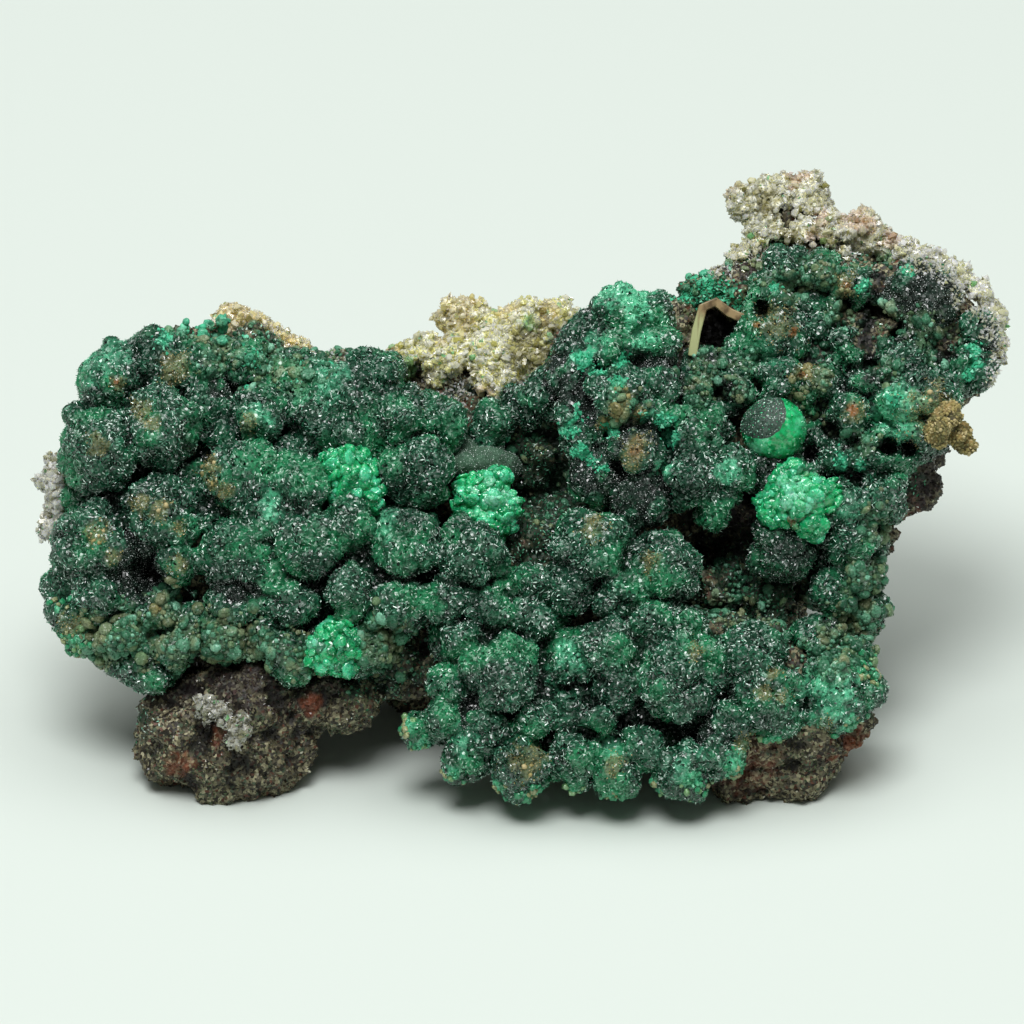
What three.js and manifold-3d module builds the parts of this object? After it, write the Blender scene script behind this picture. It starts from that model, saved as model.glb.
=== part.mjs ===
// A mineral specimen that stands on a shelf: a crust of green zincolivenite balls, grown with quartz druses
// on a piece of brown gossan. Everything is in millimetres, with Z up and the three feet flat on Z = 0.
import * as THREE from "three";
import { mergeVertices } from "three/addons/utils/BufferGeometryUtils.js";
import { ImprovedNoise } from "three/addons/math/ImprovedNoise.js";
import Module from "manifold-3d";

const wasm = await Module();
wasm.setup();

// The growths are laid out as a collector looks at them, down on the display face by this angle:
// "across" runs to the right, "up" is square to the line of sight, and "out" comes towards the eye.
const LOOK_DOWN = THREE.MathUtils.degToRad(30);
const GAP = 0.3; // between a growth and what carries it
const CUTTING_BLOCK = 80; // side of the blocks that cut the feet flat and break the back
const WELD = 1e-3; // corners nearer than this are one corner
const MEDIUM_BALL = 0.6; // balls over this radius get 80 faces before they are thinned, and smaller ones 20
const LARGE_BALL = 1.5; // 180 faces
const BOULDER = 3; // 320 faces

const noise = new ImprovedNoise();

// ---------------------------------------------------------------- solids

// A point of the display layout as a point of the specimen's own frame.
function fromDisplay(across, up, out) {
  const sin = Math.sin(LOOK_DOWN);
  const cos = Math.cos(LOOK_DOWN);
  return new THREE.Vector3(across, up * sin - out * cos, up * cos + out * sin);
}

// A closed geometry as a solid that can be joined and cut.
function solidOf(geometry) {
  const bare = geometry.index ? geometry.toNonIndexed() : geometry.clone();
  bare.deleteAttribute("normal");
  bare.deleteAttribute("uv");
  const merged = mergeVertices(bare, WELD);
  const mesh = new wasm.Mesh({
    numProp: 3,
    vertProperties: merged.attributes.position.array,
    triVerts: new Uint32Array(merged.index.array),
  });
  return new wasm.Manifold(mesh);
}

function geometryOf(solid) {
  const mesh = solid.getMesh();
  const geometry = new THREE.BufferGeometry();
  geometry.setAttribute("position", new THREE.BufferAttribute(mesh.vertProperties, 3));
  geometry.setIndex(new THREE.BufferAttribute(mesh.triVerts, 1));
  return geometry;
}

function joined(solids) {
  return wasm.Manifold.union(solids);
}

// The largest of the bodies that a cut leaves: the others are chips.
function largest(solid) {
  return solid.decompose().sort((a, b) => b.volume() - a.volume())[0];
}

// A closed unit ball, with more faces the larger it is to be.
function unitBall(radius) {
  if (radius > BOULDER) return new THREE.IcosahedronGeometry(1, 3);
  if (radius > LARGE_BALL) return new THREE.IcosahedronGeometry(1, 2);
  return new THREE.IcosahedronGeometry(1, radius > MEDIUM_BALL ? 1 : 0);
}

// A rounded lump: an ellipsoid [across, up, out, radius...] pushed in and out by noise of the given depth and
// pitch. A single radius makes it a ball, and three are its reach across, up and out.
function lump([across, up, out, ...radii], { rough, pitch }, grow = 0) {
  const [reachAcross, reachUp = reachAcross, reachOut = reachAcross] = radii;
  const geometry = unitBall(Math.max(...radii));
  const position = geometry.attributes.position;
  const point = new THREE.Vector3();
  for (let i = 0; i < position.count; i++) {
    point.fromBufferAttribute(position, i);
    const place = fromDisplay(
      across + point.x * reachAcross,
      up + point.y * reachUp,
      out + point.z * reachOut,
    ).divideScalar(pitch);
    const push = grow + rough * noise.noise(place.x, place.y, place.z);
    const moved = fromDisplay(
      across + point.x * (reachAcross + push),
      up + point.y * (reachUp + push),
      out + point.z * (reachOut + push),
    );
    position.setXYZ(i, moved.x, moved.y, moved.z);
  }
  return solidOf(geometry);
}

// All the lumps of one growth, joined: grown together, they are one solid.
function growth(list, shape, grow = 0) {
  return joined(list.map((place) => lump(place, shape, grow)));
}

// ---------------------------------------------------------------- thinning

// Joining balls leaves thousands of narrow faces along their seams. Corners that the skin can spare are drawn
// onto their neighbours, so long as the skin stays within a given slack of where it was.
const ROCK_SLACK = 0.34;
const CRUST_SLACK = 0.23;
const MOST_TURN = Math.cos(THREE.MathUtils.degToRad(60)); // a face that would turn further keeps its corner

// The skin of a closed geometry: its corners, the faces around each, and how far it has moved there. Welding the
// corners closes the narrowest faces up, and a pair that then lies back to back goes too.
function skinOf(geometry) {
  const { attributes, index } = mergeVertices(geometry, WELD);
  const points = [];
  for (let i = 0; i < attributes.position.count; i++) {
    points.push(new THREE.Vector3().fromBufferAttribute(attributes.position, i));
  }
  const faces = new Map();
  for (let i = 0; i < index.count; i += 3) {
    const face = [...index.array.slice(i, i + 3)];
    const key = face.toSorted((a, b) => a - b).join();
    if (new Set(face).size < 3) continue;
    if (!faces.delete(key)) faces.set(key, face);
  }
  const around = points.map(() => new Set());
  for (const face of faces.values()) face.forEach((corner) => around[corner].add(face));
  return { points, around, moved: points.map(() => 0) };
}

function neighbours({ around }, corner) {
  const found = new Set([...around[corner]].flat());
  found.delete(corner);
  return found;
}

function normalOf(points, [a, b, c]) {
  const side = points[b].clone().sub(points[a]);
  return side.cross(points[c].clone().sub(points[a])).normalize();
}

// How far the skin has moved once a corner is drawn onto its neighbour: Infinity where that would fold it.
function moveOf({ points, around, moved }, corner, onto) {
  let most = 0;
  for (const face of around[corner]) {
    if (face.includes(onto)) continue;
    const drawn = normalOf(points, face.map((next) => (next === corner ? onto : next)));
    if (!(drawn.dot(normalOf(points, face)) > MOST_TURN)) return Infinity;
    most = Math.max(most, Math.abs(points[corner].clone().sub(points[onto]).dot(drawn)));
  }
  return most + moved[corner];
}

// The neighbour that a corner is best drawn onto. One with which it shares more than two others is no choice,
// because that would pinch the skin.
function bestDraw(skin, corner, slack) {
  const near = neighbours(skin, corner);
  let best = { corner, move: slack };
  for (const onto of near) {
    const move = moveOf(skin, corner, onto);
    if (move >= best.move) continue;
    const shared = [...neighbours(skin, onto)].filter((next) => near.has(next));
    if (shared.length === 2) best = { corner, onto, move };
  }
  return best;
}

function draw({ around, moved }, { corner, onto, move }) {
  for (const face of around[corner]) {
    if (face.includes(onto)) {
      face.forEach((next) => next !== corner && around[next].delete(face));
    } else {
      face[face.indexOf(corner)] = onto;
      around[onto].add(face);
    }
  }
  around[corner].clear();
  moved[onto] = Math.max(moved[onto], move);
}

// One round takes each stretch of the skin at most once, the corners it can best spare first.
function thinOnce(skin, slack) {
  const choices = skin.points.map((_, corner) => bestDraw(skin, corner, slack));
  const draws = choices.filter(({ onto }) => onto !== undefined);
  draws.sort((a, b) => a.move - b.move);
  const taken = new Set();
  for (const choice of draws) {
    if (taken.has(choice.corner) || taken.has(choice.onto)) continue;
    neighbours(skin, choice.corner).forEach((next) => taken.add(next));
    draw(skin, choice);
  }
  return draws.length > 0;
}

function thinned(solid, slack) {
  const skin = skinOf(geometryOf(solid));
  while (thinOnce(skin, slack));
  const faces = new Set(skin.around.flatMap((around) => [...around]));
  const places = [...faces].flat().flatMap((corner) => skin.points[corner].toArray());
  const geometry = new THREE.BufferGeometry();
  geometry.setAttribute("position", new THREE.Float32BufferAttribute(places, 3));
  return solidOf(geometry);
}

// ---------------------------------------------------------------- gossan matrix

const ROCK = { rough: 1.7, pitch: 2.1 };
const ROCK_KNOB = { rough: 0.7, pitch: 1.1 };
const PIT = { rough: 0.5, pitch: 0.9 };
const MATRIX_BLOCKS = [
  [-14.4, 11.4, -4.2, 7.6, 5.0, 4.0], // left, behind the crust
  [-13.6, 18.2, -6.4, 7.4, 4.8, 4.0],
  [-14.4, 3.6, -1.9, 4.3, 3.9, 3.5], // left foot
  [-1.8, 16.8, -8.2, 7.0, 6.4, 4.4], // behind the gully and the saddle
  [0.2, 10.4, -4.8, 6.2, 4.4, 4.0],
  [5.6, 13.6, -7.0, 4.6, 3.4, 3.4],
  [5.8, 19.4, -6.8, 5.0, 5.6, 4.6], // behind the centre mound
  [11.2, 13.6, -9.2, 5.6, 5.4, 4.4], // behind the cave
  [6.2, 6.2, -2.4, 6.6, 3.8, 3.6], // under the tongue
  [12.4, 4.7, -2.1, 4.8, 4.4, 3.6], // right foot
  [16.0, 19.6, -6.8, 6.2, 6.2, 4.4], // right
  [15.2, 25.0, -8.2, 5.8, 3.8, 3.4],
  [10.2, 22.4, -8.2, 3.2, 3.4, 3.2],
  [0.6, 8.8, -10.4, 11.0, 5.4, 5.0], // back foot
];
const MATRIX_KNOBS = [
  [-9.6, 5.6, -1.6, 3.2, 1.9, 2.2], // root of the left foot
  [-5.6, 7.4, -2.4, 3.0, 1.9, 2.4],
  [-16.4, 23.6, -4.8, 1.4], // top left
  [-15.4, 24.1, -5.0, 1.1],
  [-13.0, 23.0, -5.4, 1.2],
  [-21.6, 15.4, -4.2, 1.7], // left edge
  [-20.6, 13.4, -3.6, 1.9],
  [21.6, 22.9, -6.2, 2.6, 2.9, 2.6], // right edge
  [20.4, 25.4, -6.0, 1.9],
  [18.7, 25.8, -6.2, 1.6],
  [19.9, 16.3, -4.4, 1.8],
  [18.1, 13.7, -4.2, 1.35],
  [16.8, 11.4, -4.2, 1.6, 2.4, 1.8],
  [15.5, 11.3, -4.6, 1.6],
  [17.0, 4.2, -0.8, 1.2],
  [14.2, 28.2, -8.6, 2.3, 2.0, 2.0], // under the peak
  [8.4, 24.2, -5.6, 1.4], // between the mound and the boxwork
  [9.8, 26.0, -6.0, 1.2],
  [-8.6, 21.3, -6.2, 1.9],
  [11.4, 26.6, -5.4, 1.0], // ledges above the right crust
  [18.9, 23.6, -4.6, 1.3],
  [22.6, 24.4, -5.0, 1.1],
  [14.0, 19.8, -3.4, 1.5],
  [-2.6, 19.6, -4.4, 1.3], // floor of the gully
  [1.4, 17.4, -4.4, 1.5],
  [2.6, 14.6, -4.0, 1.4],
  [10.6, 10.9, -3.6, 1.3], // floor of the cave
  [12.9, 10.4, -3.2, 1.2],
];
const PITS = [
  [-18.0, 11.8, 0.2, 1.2, 0.9, 2.6],
  [-4.6, 14.7, -1.6, 1.6, 0.9, 2.6],
  [10.3, 23.8, -4.2, 1.0, 1.3, 1.9], // inside the boxwork
  [19.4, 22.6, -4.2, 0.9, 1.5, 1.8],
  [-6.0, 17.0, -12.6, 1.9, 1.3, 1.5], // vugs in the back
  [9.4, 10.4, -12.8, 1.4, 1.9, 1.6],
  [-15.6, 12.6, -8.4, 1.5, 1.2, 1.3],
];

// The back and the ends were broken off the outcrop: a point on each fracture, and the way that it faces.
const FRACTURES = [
  { at: [0, 12, -12.3], faces: [0.06, 0.2, -1] },
  { at: [15, 24, -11.8], faces: [0.3, 0.3, -0.9] },
  { at: [-15, 17, -9.0], faces: [-0.35, 0.3, -0.9] },
  { at: [-15, 9, -7.4], faces: [-0.25, -0.25, -0.95] },
  { at: [13, 8, -9.4], faces: [0.5, -0.3, -0.85] },
  { at: [-4, 22, -11.0], faces: [-0.3, 0.6, -0.75] },
  { at: [-20.8, 14, -6.0], faces: [-0.9, 0.1, -0.45] },
  { at: [20.8, 16, -7.6], faces: [0.85, -0.4, -0.4] },
];

// Everything on the far side of a plane, as one big block.
function beyond(point, direction) {
  const block = new THREE.BoxGeometry(CUTTING_BLOCK, CUTTING_BLOCK, CUTTING_BLOCK);
  block.translate(0, 0, CUTTING_BLOCK / 2);
  block.applyQuaternion(new THREE.Quaternion().setFromUnitVectors(new THREE.Vector3(0, 0, 1), direction));
  block.translate(point.x, point.y, point.z);
  return solidOf(block);
}

function fractured(solid) {
  const chips = FRACTURES.map(({ at, faces }) => beyond(fromDisplay(...at), fromDisplay(...faces).normalize()));
  return solid.subtract(joined(chips));
}

function rock(grow) {
  return joined([growth(MATRIX_BLOCKS, ROCK, grow), growth(MATRIX_KNOBS, ROCK_KNOB, grow)]);
}

// ---------------------------------------------------------------- quartz druses

const DRUSE = { rough: 0.4, pitch: 0.6 };
const CRYSTAL_WIDTH = 0.7; // of the radius of the lump that the crystal grows on
const CRYSTAL_REACH = 1.45; // from the lump's middle to the crystal's tip, in the same measure
const CRYSTALS_PER_LUMP = 2;
const CRYSTAL_SIDES = 6;
const CRYSTAL_LEAN = 0.6; // how far a crystal points out of the druse, where 1 is as far as along it
const CRYSTAL_TURN = THREE.MathUtils.degToRad(137.5); // from one crystal to the next
const QUARTZ = {
  quartz_saddle: [
    [-2.2, 24.4, -7.2, 1.4],
    [0.6, 23.9, -7.0, 1.6],
    [-4.3, 22.8, -6.6, 1.15],
    [2.1, 24.2, -6.8, 1.3],
    [-1.0, 22.4, -5.8, 1.7],
    [1.2, 22.2, -5.2, 1.4],
    [-3.2, 22.0, -5.4, 1.4],
    [-5.6, 22.3, -6.2, 0.85],
    [-1.0, 20.9, -4.8, 1.2],
  ],
  quartz_peak: [
    [13.3, 30.3, -8.2, 1.5],
    [14.9, 30.9, -8.2, 1.2],
    [12.0, 30.4, -8.0, 1.0],
    [14.2, 29.5, -7.6, 1.2],
    [15.4, 29.5, -8.0, 1.3],
    [13.0, 28.7, -7.4, 1.4],
    [14.9, 28.2, -7.0, 1.4],
    [16.4, 28.3, -7.2, 1.3],
    [17.6, 29.0, -7.6, 1.1],
    [11.9, 27.4, -6.8, 1.0],
    [16.9, 27.4, -6.4, 1.0],
    [18.6, 28.5, -7.4, 1.0],
  ],
  quartz_right_rim: [
    [19.9, 27.8, -7.0, 0.95],
    [21.0, 27.3, -6.8, 0.95],
    [22.2, 26.5, -6.3, 1.05],
    [23.2, 25.3, -5.8, 1.2],
    [23.9, 24.5, -5.6, 1.0],
    [24.05, 23.4, -5.4, 0.8],
    [23.8, 22.6, -5.25, 0.65],
  ],
  quartz_left_ridge: [
    [-14.1, 24.4, -7.0, 0.95],
    [-12.9, 23.9, -7.0, 0.95],
    [-11.8, 23.1, -6.8, 0.85],
    [-10.7, 22.6, -6.6, 0.85],
    [-9.5, 22.4, -6.4, 0.8],
  ],
  quartz_left_edge: [
    [-22.5, 16.2, -3.1, 1.1],
    [-22.5, 15.0, -2.9, 0.95],
    [-22.8, 14.1, -2.8, 0.85],
    [-22.1, 17.2, -3.3, 0.9],
  ],
  quartz_foot_patch: [
    [-14.9, 4.7, 1.7, 0.85],
    [-13.9, 3.9, 1.8, 0.85],
  ],
};

// A druse shows the six-sided tips of its crystals, turned every way.
function druse(list, grow = 0) {
  const tips = list.flatMap((place, index) => crystals(place, index, grow));
  return joined([growth(list, DRUSE, grow), ...tips]);
}

function crystals([across, up, out, radius], index, grow) {
  const width = radius * CRYSTAL_WIDTH + grow;
  const length = radius * CRYSTAL_REACH + grow;
  const profile = [new THREE.Vector2(0, -length), new THREE.Vector2(width, 0), new THREE.Vector2(0, length)];
  const middle = fromDisplay(across, up, out);
  const solids = [];
  for (let k = 0; k < CRYSTALS_PER_LUMP; k++) {
    const turn = (index * CRYSTALS_PER_LUMP + k) * CRYSTAL_TURN;
    const lean = fromDisplay(Math.cos(turn), Math.sin(turn), CRYSTAL_LEAN).normalize();
    const geometry = new THREE.LatheGeometry(profile, CRYSTAL_SIDES);
    geometry.applyQuaternion(new THREE.Quaternion().setFromUnitVectors(new THREE.Vector3(0, 1, 0), lean));
    geometry.translate(middle.x, middle.y, middle.z);
    solids.push(solidOf(geometry));
  }
  return solids;
}

// ---------------------------------------------------------------- boxwork cast

// A thin bent plate of quartz that once coated a crystal, now gone: it roofs an empty cavity.
const PLATE = 0.32;
const PLATE_FRONT = -2.3;
const PLATE_DEPTH = 2.4;
const PLATE_BENDS = [[8.9, 22.7], [9.1, 23.9], [9.45, 25.15], [10.25, 25.5], [11.0, 24.95], [11.9, 24.55]];

function boxworkCast(grow = 0) {
  const bends = PLATE_BENDS.map(([across, up]) => new THREE.Vector2(across, up));
  const back = bends.map((bend, i) => {
    const along = bends[Math.min(i + 1, bends.length - 1)].clone().sub(bends[Math.max(i - 1, 0)]).normalize();
    return new THREE.Vector2(bend.x + along.y * (PLATE + grow), bend.y - along.x * (PLATE + grow));
  });
  const outline = new THREE.Shape([...bends, ...back.reverse()]);
  const geometry = new THREE.ExtrudeGeometry(outline, { depth: PLATE_DEPTH + grow, bevelEnabled: false });
  geometry.translate(0, 0, PLATE_FRONT - PLATE_DEPTH);
  const [right, up, out] = [fromDisplay(1, 0, 0), fromDisplay(0, 1, 0), fromDisplay(0, 0, 1)];
  geometry.applyMatrix4(new THREE.Matrix4().makeBasis(right, up, out));
  return solidOf(geometry);
}

// ---------------------------------------------------------------- green crusts

const CRUST = { rough: 0.45, pitch: 0.85 };
const CRUSTS = {
  front_crust: [
    // beds that the balls stand on
    [-15.2, 13.2, -1.6, 6.4, 4.6, 2.0],
    [-17.5, 20.0, -3.6, 3.4, 2.4, 1.8],
    [-9.5, 19.4, -3.2, 4.3, 2.8, 1.6],
    [-8.3, 12.2, -0.8, 5.6, 3.4, 1.8],
    [-0.7, 8.8, 0.0, 3.2, 3.0, 1.6],
    [5.0, 5.4, 0.5, 7.4, 3.6, 1.7],
    [13.4, 6.4, -0.3, 4.2, 2.4, 1.5],
    // upper left dome
    [-19.7, 21.1, -2.7, 1.9],
    [-20.8, 19.6, -2.6, 1.1],
    [-17.9, 21.8, -2.9, 1.9],
    [-16.3, 21.4, -2.7, 1.65],
    [-16.0, 20.0, -2.4, 1.6],
    // the two balls that stand out below it
    [-17.7, 18.9, -0.8, 2.05],
    [-20.5, 17.9, -1.0, 2.0],
    [-21.1, 15.6, -2.6, 1.4],
    // hollow between the dome and the pyramid
    [-14.4, 18.7, -2.6, 1.8],
    [-12.7, 19.5, -1.5, 1.35],
    [-13.5, 21.7, -4.2, 1.7],
    [-11.3, 21.2, -4.2, 1.7],
    // ridge of balls across the middle
    [-13.3, 16.3, -0.1, 1.95],
    [-14.9, 16.0, -0.7, 1.2],
    [-12.3, 14.6, 0.3, 1.6],
    [-10.9, 15.9, 0.0, 1.8],
    [-17.5, 14.4, -0.4, 2.1],
    // left end
    [-20.7, 13.1, -0.5, 2.1],
    [-22.0, 11.4, -1.2, 1.2],
    [-22.0, 9.9, -0.9, 1.0],
    [-21.3, 8.9, -0.8, 0.95],
    [-20.2, 8.2, -0.5, 0.85],
    [-20.4, 10.8, -0.1, 1.5],
    // lower middle
    [-16.6, 12.3, 0.7, 0.95],
    [-13.5, 12.7, 0.4, 1.9],
    [-12.2, 11.4, 0.4, 1.4],
    [-10.2, 13.2, 0.6, 1.9],
    [-8.2, 14.0, 0.7, 1.5],
    [-5.4, 12.9, 0.8, 1.75],
    [-2.1, 12.6, 0.7, 1.6],
    [-8.0, 10.9, 1.0, 1.5],
    [-5.6, 10.3, 1.0, 1.5],
    [-3.4, 10.5, 1.0, 1.35],
    [-13.6, 10.3, 0.6, 1.3],
    [-11.2, 10.3, 0.5, 1.4],
    // smooth balls along the lower edge
    [-19.2, 8.7, 0.0, 1.05],
    [-19.1, 7.4, -0.6, 0.9],
    [-18.0, 7.0, -0.4, 0.9],
    [-18.2, 7.8, -0.1, 0.9],
    [-17.6, 9.7, 0.1, 1.0],
    [-17.0, 8.1, 0.3, 0.9],
    [-15.9, 9.0, 0.3, 0.95],
    [-14.3, 8.6, 0.6, 1.1],
    [-12.6, 8.5, 0.6, 1.05],
    [-11.0, 7.7, 0.8, 1.15],
    [-9.4, 8.0, 0.2, 1.2],
    [-7.4, 8.0, 0.4, 1.2],
    // pyramid
    [-7.0, 21.2, -2.8, 1.6],
    [-7.9, 20.1, -2.2, 2.1],
    [-9.8, 19.3, -2.2, 1.8],
    [-5.9, 19.5, -1.9, 1.7],
    [-8.2, 18.6, -1.5, 1.7],
    [-10.3, 18.0, -1.9, 1.3],
    [-4.1, 19.2, -2.6, 1.4],
    [-4.8, 16.8, -1.1, 1.65],
    // neck and front tongue
    [-1.2, 9.9, 1.2, 1.3],
    [0.7, 9.3, 1.2, 1.2],
    [-2.3, 8.4, 1.4, 1.2],
    [-0.6, 6.8, 2.0, 2.0],
    [-2.7, 6.0, 1.3, 1.25],
    [-3.1, 4.5, 1.4, 1.3],
    [-1.3, 4.1, 1.8, 1.3],
    [-4.3, 4.0, 1.2, 0.8],
    [-2.2, 2.9, 1.5, 1.1],
    [0.4, 2.3, 1.9, 1.45],
    [1.4, 4.6, 2.0, 1.15],
    [2.9, 4.6, 2.0, 1.05],
    [3.3, 2.6, 2.0, 1.3],
    [5.2, 2.1, 2.0, 1.3],
    [6.5, 3.0, 2.1, 1.2],
    [4.5, 4.2, 2.0, 1.05],
    [8.4, 2.2, 2.0, 1.35],
    [10.1, 2.9, 2.0, 1.2],
    [4.8, 7.6, 1.7, 1.55],
    [5.4, 6.1, 1.9, 1.35],
    [6.9, 8.9, 1.1, 1.5],
    [8.4, 8.6, 1.1, 1.3],
    [8.0, 6.4, 2.0, 2.05],
    [9.6, 7.1, 1.7, 1.4],
    [11.6, 7.1, 1.4, 1.8],
    [12.7, 5.4, 1.6, 1.8],
    [11.0, 4.3, 1.8, 1.3],
    [14.2, 4.6, 1.1, 1.2],
    [16.0, 5.8, 0.8, 1.7],
    [17.1, 6.1, 0.4, 1.15],
    [15.2, 8.1, -0.3, 1.2],
    [17.0, 7.4, -0.1, 1.0],
    [4.0, 12.8, 0.4, 1.85],
    [7.4, 11.9, 0.2, 1.75],
    [2.9, 11.2, 0.6, 1.3],
    [5.6, 10.6, 0.6, 1.4],
    [1.2, 10.9, 0.6, 1.05],
  ],
  mound_crust: [
    [5.6, 24.3, -3.0, 1.65],
    [6.7, 24.4, -2.9, 1.2],
    [4.2, 23.7, -2.9, 1.15],
    [5.6, 25.3, -3.4, 0.8],
    [3.6, 22.9, -2.1, 1.3],
    [5.3, 22.7, -1.7, 1.35],
    [6.9, 22.8, -2.0, 1.3],
    [3.1, 21.5, -1.7, 1.3],
    [5.5, 20.4, -0.6, 1.7],
    [7.2, 21.2, -1.2, 1.35],
    [3.5, 19.9, -1.1, 1.2],
    [7.3, 19.6, -0.7, 1.2],
    [3.7, 18.4, -0.8, 1.1],
    [6.1, 18.0, 0.2, 1.25],
    [4.4, 16.8, -0.8, 1.35],
    [6.3, 15.8, -0.6, 1.5],
    [9.2, 18.7, -1.0, 1.6],
    [10.7, 17.0, -0.6, 1.2],
    [9.1, 16.7, -0.7, 1.65],
    [9.0, 20.3, -1.9, 1.1],
    [9.9, 21.8, -2.9, 1.05],
    [10.1, 15.6, -1.0, 1.1],
    [1.8, 20.6, -2.7, 1.1],
    [0.5, 20.1, -3.1, 1.0],
    [-0.7, 19.4, -3.3, 0.9],
    [-1.2, 18.7, -3.3, 0.65],
  ],
  gully_oval: [
    [-1.4, 17.2, -3.0, 1.9, 0.9, 1.4],
    [-2.3, 17.6, -3.3, 0.9],
  ],
  right_crust: [
    [16.9, 17.4, -3.0, 3.6, 2.0, 1.6], // beds
    [16.6, 13.6, -3.0, 2.2, 2.6, 1.6],
    [13.1, 16.9, -1.8, 1.15],
    [15.3, 17.2, -1.9, 1.2],
    [13.5, 13.0, -1.3, 1.45],
    [14.8, 14.9, -1.4, 1.5],
    [16.5, 15.0, -1.3, 1.45],
    [18.2, 15.6, -2.0, 1.4],
    [17.0, 13.5, -1.8, 1.5],
    [17.2, 11.7, -2.3, 1.3],
    [17.5, 9.9, -2.8, 1.05],
    [16.3, 10.8, -2.1, 1.1],
    [17.0, 19.7, -2.0, 1.2],
    [17.8, 21.6, -2.5, 1.4],
    [19.8, 20.4, -2.1, 1.65],
    [21.3, 20.4, -2.7, 1.1],
    [15.5, 21.0, -2.7, 1.25],
    [16.6, 21.9, -3.0, 1.1],
    [16.9, 22.9, -3.6, 1.1],
    [18.5, 18.0, -2.3, 1.5],
    [20.2, 18.7, -2.3, 1.4],
    [19.6, 22.6, -3.4, 1.3],
    [20.4, 23.9, -3.6, 1.3],
    [21.3, 22.2, -3.8, 1.1],
    [23.3, 23.7, -4.1, 1.0],
    [23.0, 22.2, -3.8, 1.1],
    [22.2, 21.5, -3.4, 1.0],
    [20.6, 25.6, -3.9, 1.6],
  ],
  upper_right_crust: [
    [13.1, 23.9, -3.4, 1.75],
    [11.9, 22.7, -3.0, 1.05],
    [11.4, 21.1, -2.6, 1.05],
    [13.2, 21.5, -2.5, 1.1],
    [13.2, 25.8, -4.2, 1.05],
    [13.9, 26.8, -4.3, 0.95],
    [15.5, 26.7, -4.6, 1.05],
    [16.8, 25.9, -4.7, 1.1],
    [17.9, 25.8, -4.5, 0.85],
    [15.2, 24.9, -4.2, 1.2],
  ],
  bright_ball_left: [
    [-8.2, 16.8, -0.1, 1.3],
    [-9.1, 16.5, -0.2, 0.85],
    [-7.5, 15.7, 0.2, 0.75],
  ],
  bright_ball_low: [
    [-8.9, 8.1, 1.5, 1.2],
  ],
  bright_ball_middle: [
    [-1.4, 15.4, -1.2, 1.15],
    [-1.0, 16.1, -1.4, 0.65],
    [-2.1, 15.3, -1.2, 0.75],
    [-0.7, 14.7, -1.0, 0.95],
    [-1.4, 14.2, -0.8, 0.9],
  ],
  bright_ball_right: [
    [14.0, 15.4, -0.2, 1.15],
    [15.1, 15.4, -0.2, 0.95],
    [13.9, 16.3, -0.6, 0.75],
    [14.9, 14.3, -0.1, 0.65],
    [13.2, 14.9, -0.3, 0.75],
  ],
  half_bright_ball: [
    [13.2, 18.9, -1.7, 1.65],
  ],
  gap_ball: [
    [3.1, 7.3, 2.0, 1.0],
  ],
  limonite_knob: [
    [21.5, 19.5, -1.6, 1.0],
    [21.2, 18.8, -1.3, 0.75],
    [22.2, 18.8, -2.0, 0.7],
    [22.6, 18.1, -2.3, 0.6],
  ],
};

// ---------------------------------------------------------------- the specimen

// Each node's colour and roughness.
const FINISH = {
  gossan_matrix: [0x4a3a30, 0.9],
  quartz_saddle: [0xc9bf98, 0.35],
  quartz_peak: [0xcfc6b6, 0.35],
  quartz_right_rim: [0xcfc6b6, 0.35],
  quartz_left_ridge: [0xc8a86a, 0.35],
  quartz_left_edge: [0xc9bfae, 0.35],
  quartz_foot_patch: [0xb9b2a6, 0.35],
  boxwork_cast: [0xb09a5a, 0.5],
  front_crust: [0x1f5a3f, 0.45],
  mound_crust: [0x2a6347, 0.45],
  gully_oval: [0x3c5a4c, 0.6],
  right_crust: [0x2f6a4c, 0.45],
  upper_right_crust: [0x2f6a4c, 0.45],
  bright_ball_left: [0x2fae6c, 0.35],
  bright_ball_low: [0x2fae6c, 0.35],
  bright_ball_middle: [0x2fae6c, 0.35],
  bright_ball_right: [0x2fae6c, 0.35],
  half_bright_ball: [0x2a8a58, 0.35],
  gap_ball: [0x2a8a58, 0.35],
  limonite_knob: [0x9a7038, 0.75],
};

const specimen = new THREE.Group();

function add(name, solid) {
  const [colour, roughness] = FINISH[name];
  const geometry = geometryOf(solid);
  geometry.computeVertexNormals();
  const material = new THREE.MeshStandardMaterial({ color: colour, roughness, metalness: 0 });
  const mesh = new THREE.Mesh(geometry, material);
  mesh.name = name;
  specimen.add(mesh);
}

const pitted = fractured(rock(0)).subtract(growth(PITS, PIT));
const ground = beyond(new THREE.Vector3(), new THREE.Vector3(0, 0, -1));
add("gossan_matrix", largest(thinned(largest(pitted), ROCK_SLACK).subtract(ground)));

// Each growth is cut to sit on what was there before it, a gap away.
let carried = rock(GAP + ROCK_SLACK / 2);
for (const [name, list] of Object.entries(QUARTZ)) {
  add(name, thinned(largest(druse(list).subtract(carried)), CRUST_SLACK));
  carried = carried.add(druse(list, GAP));
}
add("boxwork_cast", largest(boxworkCast().subtract(carried)));
carried = carried.add(boxworkCast(GAP));
for (const [name, list] of Object.entries(CRUSTS)) {
  add(name, thinned(largest(growth(list, CRUST).subtract(carried)), CRUST_SLACK));
  carried = carried.add(growth(list, CRUST, GAP));
}

// The origin is the middle of the specimen's box, on the shelf that it stands on.
const middle = new THREE.Box3().setFromObject(specimen).getCenter(new THREE.Vector3());
specimen.position.set(-middle.x, -middle.y, 0);

export default specimen;
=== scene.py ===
import math

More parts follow.
